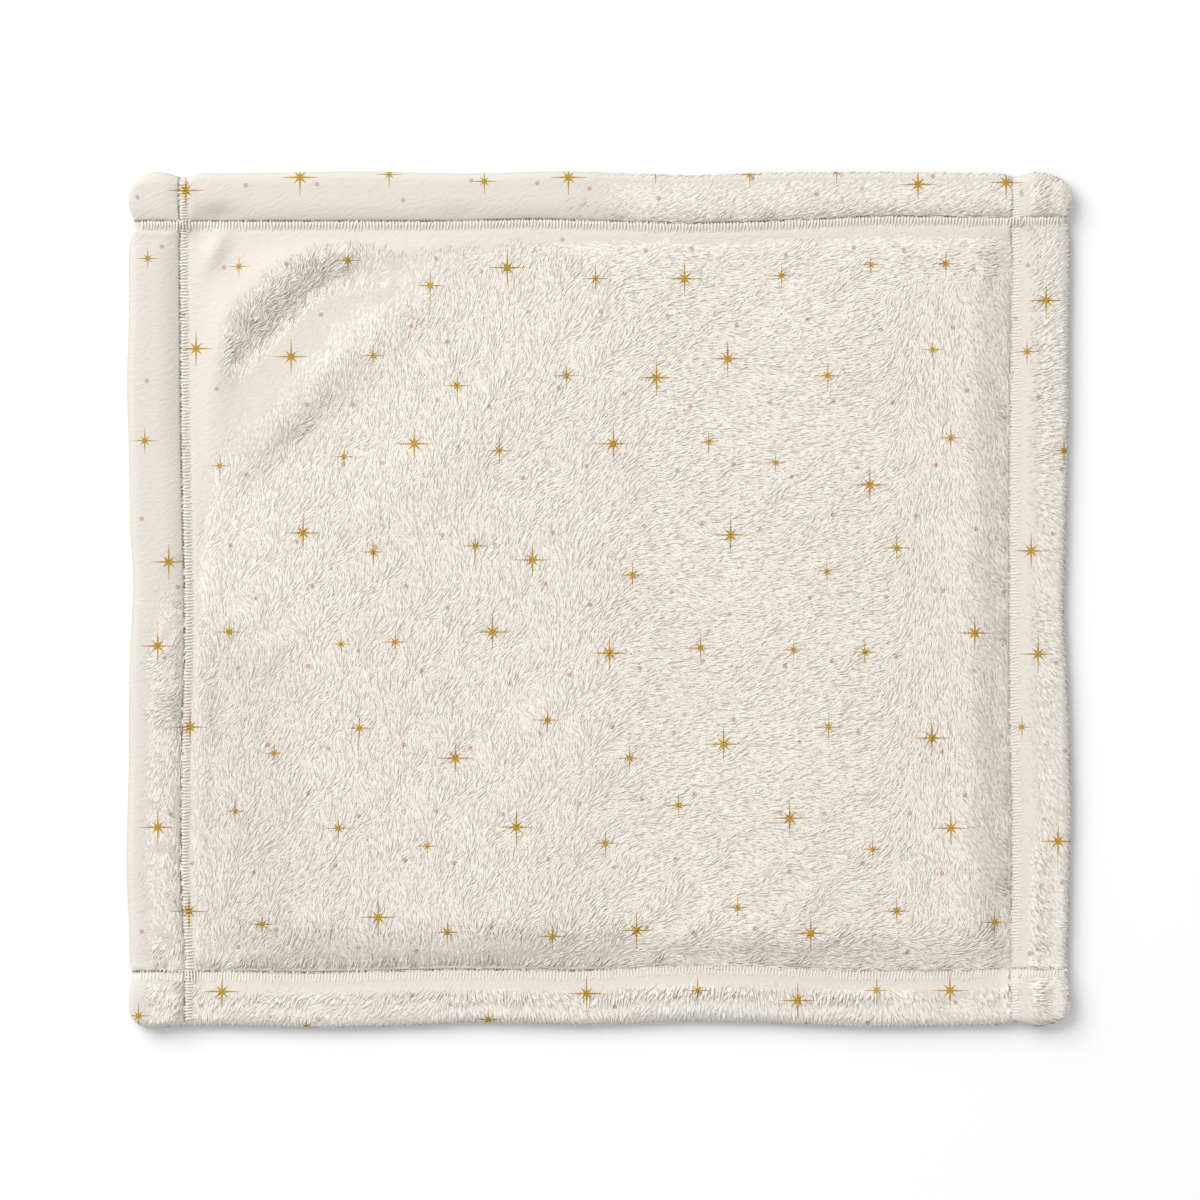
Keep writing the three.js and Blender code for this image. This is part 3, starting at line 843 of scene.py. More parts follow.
def print_over(tree, plain):
    """The print in its inks over a plain colour."""
    ink = tree.nodes.new("ShaderNodeGroup")
    ink.node_tree = printed
    names = ("Plain", "Gold", "Pink", "Dot Radius")
    feed(tree, [ink.inputs[name] for name in names], (plain, GOLD, PINK, DOT_RADIUS))
    return ink.outputs["Color"]


def vector_node(tree, operation, *values):
    """The output of a Vector Math node; for SCALE the second value is the scale."""
    node = tree.nodes.new("ShaderNodeVectorMath")
    node.operation = operation
    sockets = (node.inputs[0], node.inputs["Scale"]) if operation == "SCALE" else node.inputs
    feed(tree, sockets, values)
    return node.outputs["Value" if operation == "DOT_PRODUCT" else "Vector"]


def eased_normal(tree):
    """A lock's fine fibres scatter light, so it is lit more as the cloth under it than as a rod."""
    own = tree.nodes.new("ShaderNodeNewGeometry").outputs["Normal"]
    both = vector_node(tree, "ADD", own, attribute_of(tree, "cloth")["Vector"])
    return vector_node(tree, "NORMALIZE", both)


def bumped(tree, shader, height, strength, depth, normal=None):
    """Gives a shader the fine relief of a height."""
    bump = tree.nodes.new("ShaderNodeBump")
    names = ("Height", "Strength", "Distance")
    feed(tree, [bump.inputs[name] for name in names], (height, strength, depth))
    if normal:
        tree.links.new(normal, bump.inputs["Normal"])
    tree.links.new(bump.outputs["Normal"], shader.inputs["Normal"])


def stroke_group():
    """Short fine strokes of combed fibres, slanting and wandering, as a height of 0 to 1."""
    tree, given, result = new_group(
        "combed_strokes",
        [
            ("Width", "NodeSocketFloat", 0.001),
            ("Stretch", "NodeSocketFloat", 3.0),
            ("Turn", "NodeSocketFloat", 1.2),
            ("Wander", "NodeSocketFloat", 0.002),
        ],
        [("Height", "NodeSocketFloat")],
    )
    where = object_place(tree)
    drift = noise_node(tree, where, 9 * MM)["Color"]
    moved = vector_node(tree, "MULTIPLY_ADD", drift, given.outputs["Wander"], where)
    turned = tree.nodes.new("ShaderNodeVectorRotate")
    turned.rotation_type = "Z_AXIS"
    tree.links.new(moved, turned.inputs["Vector"])
    tree.links.new(given.outputs["Turn"], turned.inputs["Angle"])
    parts = parts_of(tree, turned.outputs[0])
    along = math_node(tree, "DIVIDE", parts["Y"], given.outputs["Stretch"])
    both = tree.nodes.new("ShaderNodeCombineXYZ")
    feed(tree, both.inputs, (parts["X"], along))
    strokes = tree.nodes.new("ShaderNodeTexNoise")
    strokes.inputs["Detail"].default_value = 1
    tree.links.new(both.outputs[0], strokes.inputs["Vector"])
    tree.links.new(math_node(tree, "DIVIDE", 1.0, given.outputs["Width"]), strokes.inputs["Scale"])
    tree.links.new(strokes.outputs["Fac"], result.inputs["Height"])
    return tree


def new_material(name):
    material = bpy.data.materials.new(name)
    material.use_nodes = True
    tree = material.node_tree
    return material, tree, tree.nodes["Principled BSDF"]


def plush_material(name, hole_shade_tree=None):
    """Soft fibres: the printed colour times the painted shade that the shade attribute carries, which
    is darker towards the roots, with a fine nap. With the hole tree, painted shade where the needle
    goes in as well. The print fades to plain cream down the steep sides of the folds."""
    material, tree, shader = new_material(name)
    shader.inputs["Roughness"].default_value = 0.9
    shader.inputs["Specular IOR Level"].default_value = 0.15
    inked = attribute_of(tree, "inked")["Fac"]
    colour = mixed_colour(tree, inked, CREAM, print_over(tree, CREAM))
    colour = vector_node(tree, "SCALE", colour, attribute_of(tree, "shade")["Fac"])
    # Painted shade where the needle goes in along the ladders
    if hole_shade_tree:
        hole = tree.nodes.new("ShaderNodeGroup")
        hole.node_tree = hole_shade_tree
        lit = math_node(tree, "MULTIPLY_ADD", hole.outputs["Hole"], -HOLE_SHADE, 1.0)
        colour = vector_node(tree, "SCALE", colour, lit)
    tree.links.new(colour, shader.inputs["Base Color"])
    height = noise_node(tree, object_place(tree), 0.7 * MM, 3)["Fac"]
    if hole_shade_tree:
        strokes = tree.nodes.new("ShaderNodeGroup")
        strokes.node_tree = stroke_group()
        strokes.inputs["Width"].default_value = 1.5 * MM
        strokes.inputs["Wander"].default_value = 6 * MM
        height = math_node(tree, "MULTIPLY_ADD", strokes.outputs["Height"], 3.0, height)
    bumped(tree, shader, height, 0.35, 0.25 * MM, eased_normal(tree))
    return material


plush = plush_material("plush_pile")
ground.data.materials.append(plush_material("plush_cloth", painted_hole_shade_group()))
# The ground's colour carries painted shade: darker under the locks, on the sides of the folds and in
# the hollows, and painted light where the ladder holds the pile down, which lifts the shade between its
# rungs
upright = np.cos(np.maximum(grid[2], grid[3]))
shade = mix(SMOOTH_SHADE, ROOT_SHADE, covered_at(cut_x, cut_y))
shade = shade * mix(FOLD_SHADE, 1, np.maximum(0, upright))
shade = shade * (1 - HOLLOW_SHADE * hollow_shading) * (1 + 0.06 * held)
store(ground.data, "shade", "FLOAT", "POINT", both_sides(shade))
inked = ramp(abs(upright), 0.05, 0.4)
store(ground.data, "inked", "FLOAT", "POINT", both_sides(inked))
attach(ground, "root")
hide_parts("plush_panel")

# The pile
# Fibres of the face stand in fine locks, all combed one way but wandering, so that they lie in
# wavy strokes. Near the top left the pile is combed smooth. The back has a shorter, plain pile.
LOCK_WIDTH = 1.1 * MM
LOCKS_PER_SQUARE_MM = 0.8
TUFT_SIZE = 7 * MM
STROKE_WIDTH = 2.1 * MM
GATHER = 0.8             # the share of its way to the middle of a stroke that a lock's tip goes


def lock_mesh():
    """One lock of length 1 along +X: a three-sided spindle that leaves the cloth and lies over."""
    points = [(0, 0, -0.6), (0.5, -0.5, -0.3), (0.5, 0.5, -0.3), (0.5, 0, 0.5), (1, 0, 0.05)]
    faces = [(0, 2, 1), (0, 3, 2), (0, 1, 3), (1, 2, 4), (2, 3, 4), (3, 1, 4)]
    mesh = bpy.data.meshes.new("lock")
    mesh.from_pydata(points, [], faces)
    store(mesh, "along", "FLOAT", "POINT", [point[0] for point in points])
    return mesh


lock = placed("lock", lock_mesh())


class Steps:
    """Builds a Geometry Nodes tree, a node at a time."""

    def __init__(self, name, inputs):
        self.tree = bpy.data.node_groups.new(name, "GeometryNodeTree")
        self.sockets = {}
        for label, kind, value in [("Geometry", "NodeSocketGeometry", None)] + inputs:
            socket = self.tree.interface.new_socket(label, in_out="INPUT", socket_type=kind)
            if value is not None:
                socket.default_value = value
            self.sockets[label] = socket.identifier
        self.tree.interface.new_socket("Geometry", in_out="OUTPUT", socket_type="NodeSocketGeometry")
        self.given = self.tree.nodes.new("NodeGroupInput").outputs
        self.result = self.tree.nodes.new("NodeGroupOutput").inputs

    def add(self, kind, settings=None, **values):
        """A node with its settings, and its inputs by name; n4 is input 4, and _ a space."""
        node = self.tree.nodes.new(kind)
        for key, value in (settings or {}).items():
            setattr(node, key, value)
        for key, value in values.items():
            number = key[1:] if key[0] == "n" and key[1:].isdigit() else None
            socket = node.inputs[int(number)] if number else node.inputs[key.replace("_", " ")]
            feed(self.tree, [socket], [value])
        return node

    def named(self, name, kind="FLOAT_VECTOR"):
        return self.add("GeometryNodeInputNamedAttribute", {"data_type": kind}, Name=name).outputs[0]

    def random(self, low_value, high_value, seed):
        node = self.add("FunctionNodeRandomValue", {"data_type": "FLOAT"}, n2=low_value, n3=high_value)
        node.inputs["Seed"].default_value = seed
        return node.outputs[1]

    def calc(self, operation, *values, clamp=False):
        return math_node(self.tree, operation, *values, clamp=clamp)

    def times(self, *values):
        """The product of two or more numbers."""
        product = values[0]
        for value in values[1:]:
            product = self.calc("MULTIPLY", product, value)
        return product

    def vector(self, operation, *values):
        return vector_node(self.tree, operation, *values)

    def keep(self, geometry, name, value, kind="FLOAT_VECTOR", domain="INSTANCE"):
        settings = {"data_type": kind, "domain": domain}
        node = self.add("GeometryNodeStoreNamedAttribute", settings, Geometry=geometry, Name=name)
        self.tree.links.new(value, node.inputs["Value"])
        return node.outputs[0]


def mark_of(steps, points):
    """The print's mark nearest to a point: its place, with the length of its arms in place of Z."""
    source = steps.add("GeometryNodeObjectInfo", Object=points).outputs["Geometry"]
    index = steps.add("GeometryNodeSampleNearest", {"domain": "POINT"}, Geometry=source).outputs[0]
    place = steps.add("GeometryNodeInputPosition").outputs[0]
    arm = steps.named("arm", "FLOAT")
    spot = steps.add("GeometryNodeSampleIndex", {"data_type": "FLOAT_VECTOR", "domain": "POINT"})
    size = steps.add("GeometryNodeSampleIndex", {"data_type": "FLOAT", "domain": "POINT"})
    for node, value in ((spot, place), (size, arm)):
        steps.tree.links.new(source, node.inputs["Geometry"])
        steps.tree.links.new(value, node.inputs["Value"])
        steps.tree.links.new(index, node.inputs["Index"])
    parts = steps.add("ShaderNodeSeparateXYZ", Vector=spot.outputs[0])
    both = steps.add("ShaderNodeCombineXYZ", X=parts.outputs[0], Y=parts.outputs[1])
    steps.tree.links.new(size.outputs[0], both.inputs["Z"])
    return both.outputs[0]


def standing_locks(steps, fluff, reach, flow):
    """Locks on one part of the ground, longer and looser where the pile is ruffled, each turned the
    way that the pile is combed there."""
    given = steps.given
    add, keep, named, random = steps.add, steps.keep, steps.named, steps.random
    calc, times = steps.calc, steps.times
    part = named("part", "INT")
    here = add("FunctionNodeCompare", {"data_type": "INT", "operation": "EQUAL"}, n2=part)
    steps.tree.links.new(given["Part"], here.inputs[3])
    bare = calc("MULTIPLY_ADD", named("bare", "FLOAT"), -0.98, 1.0)
    ruffled = calc("MULTIPLY_ADD", fluff, 3.0, -0.2, clamp=True)
    many = calc("DIVIDE", times(given["Locks"], times(bare, ruffled)), reach)
    spread = add(
        "GeometryNodeDistributePointsOnFaces", {"distribute_method": "RANDOM"},
        Mesh=given["Geometry"], Selection=here.outputs[0], Density=many, Seed=given["Seed"])
    out = add("FunctionNodeAxesToRotation", {"primary_axis": "Z", "secondary_axis": "X"})
    feed(steps.tree, out.inputs, (spread.outputs["Normal"], flow))
    yaw = times(random(-1.0, 1.0, 3), calc("MULTIPLY_ADD", fluff, 0.22, 0.08))
    lean = times(random(0.35, 1.0, 4), times(fluff, -0.09))
    lean = times(lean, times(given["Lift"], reach))
    roll = times(random(-1.0, 1.0, 5), times(fluff, 0.15))
    angles = add("ShaderNodeCombineXYZ", X=roll, Y=lean, Z=yaw).outputs[0]
    tilt = add("FunctionNodeEulerToRotation", n0=angles).outputs[0]
    turned = add("FunctionNodeRotateRotation", {"rotation_space": "LOCAL"}, n1=tilt)
    steps.tree.links.new(out.outputs[0], turned.inputs[0])
    long_share = calc("MULTIPLY_ADD", fluff, 0.35, 0.65)
    length = times(given["Length"], long_share, reach, random(0.6, 1.3, 6))
    width = times(given["Width"], random(0.7, 1.3, 7))
    width = times(width, calc("MULTIPLY_ADD", reach, 0.7, 0.3))
    tall = times(width, calc("MULTIPLY_ADD", fluff, 0.3, 0.15))
    tall = times(tall, times(reach, given["Lift"]))
    size = add("ShaderNodeCombineXYZ", X=length, Y=width, Z=tall).outputs[0]
    shape = add("GeometryNodeObjectInfo", Object=given["Lock"]).outputs["Geometry"]
    stand = add(
        "GeometryNodeInstanceOnPoints", Points=spread.outputs["Points"], Instance=shape,
        Rotation=turned.outputs[0], Scale=size)
    made = keep(stand.outputs[0], "star", mark_of(steps, star_points))
    made = keep(made, "dot", mark_of(steps, dot_points))
    made = keep(made, "cloth", spread.outputs["Normal"])
    made = keep(made, "root", add("GeometryNodeInputPosition").outputs[0])
    # A random tone for each lock, darker on average on the short locks at the edges and beside the
    # ladders, as painted shade between them
    uneven = calc("SUBTRACT", 1.0, reach)
    tone = random(-0.02, 0.01, 8)
    tone = calc("MULTIPLY_ADD", random(-0.25, 0.03, 9), uneven, tone)
    made = keep(made, "tone", tone, "FLOAT")
    made = keep(made, "long", length, "FLOAT")
    return add("GeometryNodeRealizeInstances", Geometry=made).outputs[0]


def gathered_move(steps, along, fluff, flow):
    """In each tuft the locks are drawn sideways to the nearest of its stroke lines. Gives the move,
    the share of the way that is gone, and the way in stroke widths."""
    calc, times, vector = steps.calc, steps.times, steps.vector
    root = steps.named("root")
    tuft = steps.add("ShaderNodeTexVoronoi", {"voronoi_dimensions": "2D", "feature": "F1"})
    feed(steps.tree, (tuft.inputs["Vector"], tuft.inputs["Scale"]), (root, 1 / TUFT_SIZE))
    apart = vector("SUBTRACT", root, tuft.outputs["Position"])
    way = parts_of(steps.tree, flow)
    across = steps.add("ShaderNodeCombineXYZ", X=times(way["Y"], -1.0), Y=way["X"])
    across = vector("NORMALIZE", across.outputs[0])
    stroke = calc("DIVIDE", vector("DOT_PRODUCT", apart, across), STROKE_WIDTH)
    short = calc("SUBTRACT", calc("ROUND", stroke), stroke)
    gone = times(calc("POWER", along, 0.7), steps.given["Gather"], fluff)
    return vector("SCALE", across, times(gone, times(short, STROKE_WIDTH))), gone, short


def rolled_move(steps, move, along, flow, cloth):
    """Over a fold a lock follows the round: it sinks and falls back by the first terms of 1 - cos
    and of sin, for the angle that it has gone round. Gives the whole move and that angle."""
    calc, times, vector = steps.calc, steps.times, steps.vector
    out = times(along, steps.named("long", "FLOAT"))
    turn = times(out, steps.named("roundness", "FLOAT"))
    square = times(turn, turn)
    drop = times(times(out, turn), calc("MULTIPLY_ADD", square, 0.042, -0.5))
    back = times(times(out, square), -0.155)
    move = vector("ADD", move, vector("SCALE", cloth, drop))
    return vector("ADD", move, vector("SCALE", flow, back)), turn


def lock_shade(steps, along, fluff, reach, gone, short, upright):
    """Painted shade: darker at the root and in the furrows between the strokes, as on the smooth cloth
    where the pile is hardly ruffled, on the sides of the folds and in the hollows."""
    calc, times, named = steps.calc, steps.times, steps.named
    shade = calc("MULTIPLY_ADD", calc("POWER", along, 0.5), 0.1, 0.845)
    shade = calc("ADD", shade, named("tone", "FLOAT"))
    left_over = times(calc("SUBTRACT", 1.0, gone), calc("ABSOLUTE", short))
    furrow = times(calc("POWER", times(left_over, 2.0), 1.5), fluff)
    deep = calc("MULTIPLY_ADD", reach, 0.2, -0.75)
    shade = times(shade, calc("MULTIPLY_ADD", furrow, deep, 1.0))
    unshaded_share = calc("MULTIPLY_ADD", fluff, 2.8, -0.12, clamp=True)
    shade = times(shade, calc("MULTIPLY_ADD", unshaded_share, 1 - SMOOTH_SHADE, SMOOTH_SHADE))
    facing = calc("MAXIMUM", upright, 0.0)
    shade = times(shade, calc("MULTIPLY_ADD", facing, 1 - FOLD_SHADE, FOLD_SHADE))
    return times(shade, calc("MULTIPLY_ADD", named("pressed", "FLOAT"), -HOLLOW_SHADE, 1.0))


def pile_steps():
    """The locks on one part of the ground, as the ground's attributes say."""
    steps = Steps("pile", [
        ("Part", "NodeSocketInt", 1),
        ("Locks", "NodeSocketFloat", 1.0),
        ("Length", "NodeSocketFloat", LOCK_LENGTH),
        ("Width", "NodeSocketFloat", LOCK_WIDTH),
        ("Gather", "NodeSocketFloat", GATHER),
        ("Lift", "NodeSocketFloat", 1.0),
        ("Seed", "NodeSocketInt", 1),
        ("Lock", "NodeSocketObject", None),
        ("Finish", "NodeSocketMaterial", None),
    ])
    fluff, reach, along = (steps.named(name, "FLOAT") for name in ("fluff", "reach", "along"))
    flow, cloth = steps.named("flow"), steps.named("cloth")
    made = standing_locks(steps, fluff, reach, flow)
    move, gone, short = gathered_move(steps, along, fluff, flow)
    move, turn = rolled_move(steps, move, along, flow, cloth)
    made = steps.add("GeometryNodeSetPosition", Geometry=made, Offset=move).outputs[0]
    upright = parts_of(steps.tree, cloth)["Z"]
    shade = lock_shade(steps, along, fluff, reach, gone, short, upright)
    made = steps.keep(made, "shade", shade, "FLOAT", "POINT")
    level = steps.calc("COSINE", steps.calc("ADD", steps.calc("ARCCOSINE", upright), turn))
    level = steps.calc("ABSOLUTE", level)
    inked = steps.calc("MULTIPLY_ADD", level, 2.9, -0.15, clamp=True)
    made = steps.keep(made, "inked", inked, "FLOAT", "POINT")
    finish = steps.given["Finish"]
    made = steps.add("GeometryNodeSetMaterial", Geometry=made, Material=finish).outputs[0]
    steps.tree.links.new(made, steps.result[0])
    return steps


pile_tree = pile_steps()


def grown(name, source, steps, values):
    """The result of a tree on a copy of the source, as a plain mesh of its own."""
    worker = placed(name + "_maker", source.data)
    modifier = worker.modifiers.new("steps", "NODES")
    modifier.node_group = steps.tree
    for label, value in values.items():
        modifier[steps.sockets[label]] = value
    evaluated = worker.evaluated_get(bpy.context.evaluated_depsgraph_get())
    mesh = bpy.data.meshes.new_from_object(evaluated)
    bpy.data.objects.remove(worker)
    mesh.name = name
    return placed(name, mesh)


MAP_MARGIN = 0.01


def bake_map(piece):
    """A map of the piece as seen from above, spread over the square with a small margin."""
    mesh = piece.data
    points = np.empty(len(mesh.vertices) * 3, np.float32)
    mesh.vertices.foreach_get("co", points)
    points = points.reshape(-1, 3)[:, :2]
    corners = np.empty(len(mesh.loops), np.int32)
    mesh.loops.foreach_get("vertex_index", corners)
    lowest = points.min(0)
    share = MAP_MARGIN + (1 - 2 * MAP_MARGIN) * (points - lowest) / (points.max(0) - lowest)
    layer = mesh.uv_layers.new(name="OFBake", do_init=False)
    layer.data.foreach_set("uv", share[corners].ravel())


PILE_PARTS = {
    FIELD_PART: "pile_field_lower_left",
    FIELD_PART + 1: "pile_field_lower_middle",
    FIELD_PART + 2: "pile_field_lower_right",
    FIELD_PART + 3: "pile_field_upper_left",
    FIELD_PART + 4: "pile_field_upper_middle",
    FIELD_PART + 5: "pile_field_upper_right",
    SIDE_HEM: "pile_hem_left",
    SIDE_HEM + 1: "pile_hem_right",
    END_HEM: "pile_hem_bottom",
    END_HEM + 1: "pile_hem_top",
}
BACK_PARTS = {
    TURNED_SIDE: "turned_pile_left",
    TURNED_SIDE + 1: "turned_pile_right",
    TURNED_END: "turned_pile_bottom",
    TURNED_END + 1: "turned_pile_top",
    BACK_PART: "back_pile_left",
    BACK_PART + 1: "back_pile_right",
}
BACK_SHARE = 0.16        # of the locks that the face has, each of them wider and flatter
BACK_WIDTH = 1.6 * LOCK_WIDTH
BACK_LIFT = 0.2

for part, name in {**PILE_PARTS, **BACK_PARTS}.items():
    of_face = part in PILE_PARTS
    piece = grown(name, ground, pile_tree, {
        "Part": part,
        "Locks": LOCKS_PER_SQUARE_MM / MM ** 2 * (1 if of_face else BACK_SHARE),
        "Length": LOCK_LENGTH,
        "Width": LOCK_WIDTH if of_face else BACK_WIDTH,
        "Gather": GATHER,
        "Lift": 1.0 if of_face else BACK_LIFT,
        "Seed": part,        # fixed, and another for each piece
        "Lock": lock,
        "Finish": plush,
    })
    bake_map(piece)
    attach(piece, "root")

# The seams
# Each hem is held by a three-thread flat seam that runs from edge to edge. Its needle thread
# crosses the channel on the face as a ladder, drawn down into the cloth at both ends of a rung.
THREAD = 0.8 * MM
THREAD_TONES = (0.77, 0.72, 0.655), (0.86, 0.813, 0.747)
RUNG_SHAPE = [(0, -0.9), (0.14, 0.15), (0.42, 0.3), (0.74, -0.05), (1, -0.6)]     # across, and up
SEAM_END = 3 * MM
LADDER_SEED = 7
WORN_SIDES = ("right", "bottom")
WORN_UNEVENNESS = 1.65
WORN_OVER, CLEAN_OVER = -0.12 * THREAD, 0.2 * THREAD     # how high the rungs lie on the cloth
FLAT_CROSSING = (1014, 966)    # where the pile covers both ladders, which lie deeper there
FLAT_DEPTH = 2.5 * THREAD
FLAT_REACH = 5 * MM
SEAMS = {
    "left": (False, -SEAM_X),
    "right": (False, SEAM_X),
    "bottom": (True, -SEAM_Y),
    "top": (True, SEAM_Y),
}
CROSSING_NEAR, CROSSING_FAR = 2.5 * MM, 4.5 * MM
CROSSING_RISE = 1.1 * THREAD


def on_face(x, y):
    """The points of the ground's face at places off the folds."""
    still = np.zeros_like(x)
    spots = (x, y, still, still, still > 1, still > 1)
    return folded(spots, True)


def beside_seam(along_x, at, across, lengthwise):
    """The places at distances across a seam and along it."""
    return (lengthwise, at + across) if along_x else (at + across, lengthwise)


def crossing(lengthwise):
    """1 where a seam along X crosses a side seam, and 0 away from it."""
    return 1 - ramp(abs(abs(lengthwise) - SEAM_X), CROSSING_NEAR, CROSSING_FAR)


def ladder_points(along_x, at, unevenness, over):
    """The rungs side by side, joined by short runs under the cloth at their ends."""
    end = (WIDTH if along_x else LENGTH) / 2 - SEAM_END
    rungs = round(4 * end / STITCH)
    random = np.random.default_rng(LADDER_SEED)
    across, lengthwise, up = [], [], []
    for rung in range(rungs):
        lean = random.normal(0.25, 0.4)
        long_share = 1 + 0.14 * unevenness * random.normal()
        puff = 2 - unevenness + 0.3 * random.normal()
        for share, rise in RUNG_SHAPE if rung % 2 else reversed(RUNG_SHAPE):
            away = (share - 0.5) * (-1 if along_x else 1)
            across.append(away * LADDER * long_share)
            lengthwise.append(-end + (rung + 0.5 + lean * away) * STITCH / 2)
            up.append(rise * puff * THREAD)
    across, lengthwise, up = map(np.array, (across, lengthwise, up))
    x, y = beside_seam(along_x, at, across, lengthwise)
    points = on_face(x, y)
    points[:, 2] += up + over
    if along_x:
        points[:, 2] += CROSSING_RISE * crossing(lengthwise)
    flat_x, flat_y = from_photo(*FLAT_CROSSING)
    flat = np.exp(-((x - flat_x) ** 2 + (y - flat_y) ** 2) / FLAT_REACH ** 2)
    points[:, 2] -= FLAT_DEPTH * flat
    return points


def path_object(name, points):
    mesh = bpy.data.meshes.new(name)
    mesh.from_pydata(points.tolist(), [(i, i + 1) for i in range(len(points) - 1)], [])
    return placed(name, mesh)


def thread_steps():
    """A round thread along a path of points."""
    steps = Steps("thread", [
        ("Thickness", "NodeSocketFloat", THREAD),
        ("Finish", "NodeSocketMaterial", None),
    ])
    path = steps.add("GeometryNodeMeshToCurve", Mesh=steps.given["Geometry"]).outputs[0]
    half = steps.times(steps.given["Thickness"], 0.5)
    settings = {"mode": "RADIUS"}
    ring = steps.add("GeometryNodeCurvePrimitiveCircle", settings, Resolution=6, Radius=half)
    ring = ring.outputs[0]
    tube = steps.add(
        "GeometryNodeCurveToMesh", Curve=path, Profile_Curve=ring, Fill_Caps=True).outputs[0]
    smooth = steps.add("GeometryNodeSetShadeSmooth", Geometry=tube).outputs[0]
    finish = steps.given["Finish"]
    made = steps.add("GeometryNodeSetMaterial", Geometry=smooth, Material=finish).outputs[0]
    steps.tree.links.new(made, steps.result[0])
    return steps


def thread_material(name, brightness):
    """Fluffy cream thread, finely mottled, its tones scaled down for the thread of the worn seams."""
    material, tree, shader = new_material(name)
    shader.inputs["Roughness"].default_value = 0.8
    shader.inputs["Sheen Weight"].default_value = 0.3
    ply = noise_node(tree, object_place(tree), 0.4 * MM)["Fac"]
    dark, light = ((*(brightness * part for part in tone), 1) for tone in THREAD_TONES)
    colour = print_over(tree, mixed_colour(tree, ply, dark, light))
    tree.links.new(colour, shader.inputs["Base Color"])
    bumped(tree, shader, ply, 0.5, 0.1 * MM)
    return material


clean_thread = thread_material("seam_thread", 1.0)
worn_thread = thread_material("worn_seam_thread", 0.89)
thread_tree = thread_steps()


def sewn(name, points, thickness, finish, node):
    """One thread through the points, in place of the CAD's node."""
    path = path_object(name + "_path", points)
    piece = grown(name, path, thread_tree, {"Thickness": thickness, "Finish": finish})
    bpy.data.objects.remove(path)
    mesh = piece.data
    places = np.empty(len(mesh.vertices) * 3, np.float32)
    mesh.vertices.foreach_get("co", places)
    store(mesh, "star", "FLOAT_VECTOR", "POINT", nearest(stars, places.reshape(-1, 3)))
    store(mesh, "dot", "FLOAT_VECTOR", "POINT", nearest(dots, places.reshape(-1, 3)))
    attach(piece, "root")
    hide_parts(node)


for side, (along_x, at) in SEAMS.items():
    worn = side in WORN_SIDES
    unevenness, over = (WORN_UNEVENNESS, WORN_OVER) if worn else (1, CLEAN_OVER)
    rungs = ladder_points(along_x, at, unevenness, over)
    finish = worn_thread if worn else clean_thread
    sewn(f"ladder_{side}", rungs, THREAD, finish, f"needle_thread_{side}")

# The looper threads
# Under each seam the upper looper thread lies in flat loops over the raw edge of the hem, and
# the lower one is drawn straight beside it.
LOOPER = 0.3 * MM
COVER = 4.2 * MM         # how wide the loops are
CROSSING_DROP = 1.8 * LOOPER


def under_height(x, y):
    """The height of the underside, which the seams draw up."""
    seams = (section(inset)[0] for inset in insets(x, y))
    return GROOVE * np.maximum(*seams)


def looper_points(along_x, at, width, middle):
    """A wave of one stitch length and of that width, off the middle of the seam."""
    end = (WIDTH if along_x else LENGTH) / 2 - SEAM_END
    stitches = round(2 * end / STITCH)
    turns = np.arange(0, 8 * stitches + 1)
    across = middle + width / 2 * np.sin(turns * math.pi / 4)
    lengthwise = -end + 2 * end * turns / (8 * stitches)
    x, y = beside_seam(along_x, at, across, lengthwise)
    plan_x, plan_y = in_plan(x, y)
    height = under_height(x, y) - 0.5 * LOOPER + 0.35 * LOOPER * np.cos(turns * math.pi / 4)
    if along_x:
        height = height - CROSSING_DROP * crossing(lengthwise)
    return np.stack([plan_x, plan_y, height], -1)


for side, (along_x, at) in SEAMS.items():
    outward = 1 if at > 0 else -1
    loops = looper_points(along_x, at, COVER, 0)
    straight = looper_points(along_x, at, 0.3 * LOOPER, -outward * (COVER / 2 + LOOPER))
    sewn(f"looper_loops_{side}", loops, LOOPER, clean_thread, f"upper_looper_thread_{side}")
    sewn(f"looper_line_{side}", straight, LOOPER, clean_thread, f"lower_looper_thread_{side}")

for helper in (lock, star_points, dot_points):
    bpy.data.objects.remove(helper)

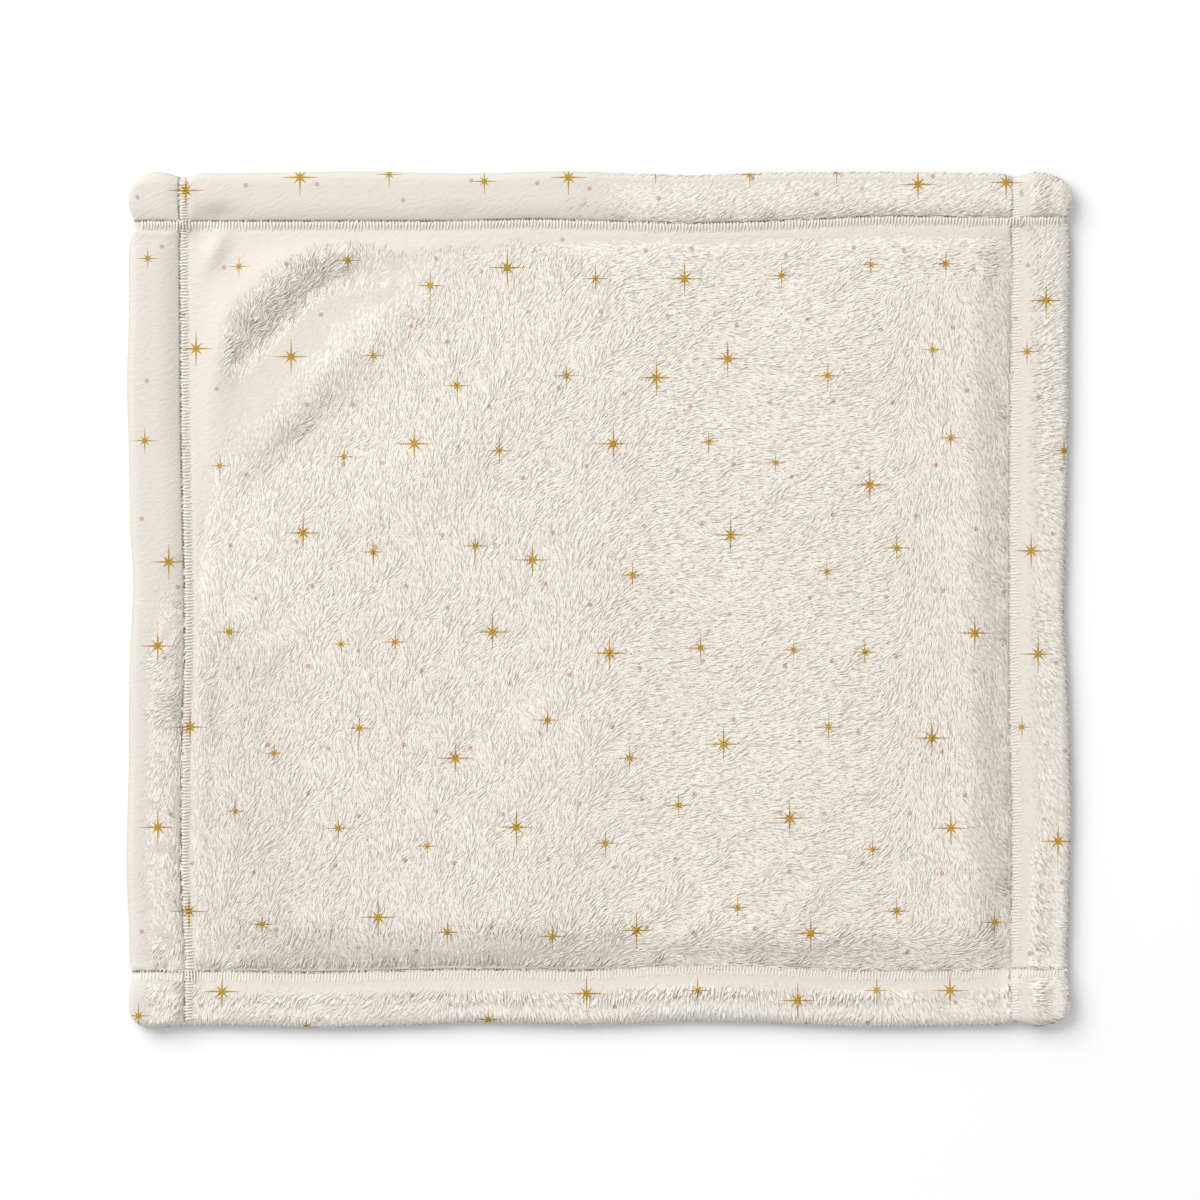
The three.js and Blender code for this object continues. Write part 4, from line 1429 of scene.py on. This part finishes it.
# The floor, the light and the camera
# A plain white table, a broad soft lamp from the upper left and a pale surround. The camera
# looks straight down on the blanket.
VIEW_WIDTH = 1200 * PIXEL
CAMERA_HEIGHT = 5
SENSOR = 36
TABLE_HALF = 3
WINDOW_PLACE = (-2.45, 2.45, 2.9)
WINDOW_SIZE = 4
WINDOW_WATTS = 202

corners = [(-TABLE_HALF, -TABLE_HALF, 0), (TABLE_HALF, -TABLE_HALF, 0)]
corners += [(TABLE_HALF, TABLE_HALF, 0), (-TABLE_HALF, TABLE_HALF, 0)]
floor_mesh = bpy.data.meshes.new("floor")
floor_mesh.from_pydata(corners, [], [(0, 1, 2, 3)])
floor = placed("floor", floor_mesh)


def floor_material():
    """A matt white top, with a faint glow that the camera sees but that lights nothing."""
    material, tree, shader = new_material("white_table")
    shader.inputs["Base Color"].default_value = (0.833, 0.843, 0.853, 1)
    shader.inputs["Roughness"].default_value = 1
    shader.inputs["Specular IOR Level"].default_value = 0
    shader.inputs["Emission Color"].default_value = (1, 1, 1, 1)
    rays = tree.nodes.new("ShaderNodeLightPath")
    seen = math_node(tree, "MAXIMUM", rays.outputs["Is Camera Ray"], rays.outputs["Is Glossy Ray"])
    seen = math_node(tree, "MAXIMUM", seen, rays.outputs["Is Transmission Ray"])
    glow = math_node(tree, "MULTIPLY", seen, 0.05)
    tree.links.new(glow, shader.inputs["Emission Strength"])
    return material


floor.data.materials.append(floor_material())

sky = bpy.data.worlds.new("surround")
sky.use_nodes = True
glow = sky.node_tree.nodes["Background"].inputs
glow["Color"].default_value = (1, 0.993, 0.988, 1)
glow["Strength"].default_value = 0.66
bpy.context.scene.world = sky

window_light = bpy.data.lights.new("window", "AREA")
window_light.shape = "DISK"
window_light.size = WINDOW_SIZE
window_light.energy = WINDOW_WATTS
window_light.color = (1, 0.99, 0.97)
window = placed("window", window_light)
window.location = WINDOW_PLACE
window.rotation_euler = (-window.location).to_track_quat("-Z", "Y").to_euler()

camera_data = bpy.data.cameras.new("camera")
camera_data.sensor_width = SENSOR
camera_data.lens = SENSOR * CAMERA_HEIGHT / VIEW_WIDTH
camera = placed("camera", camera_data)
camera.location = (0, 0, CAMERA_HEIGHT)
bpy.context.scene.camera = camera
bpy.context.scene.view_settings.view_transform = "Standard"
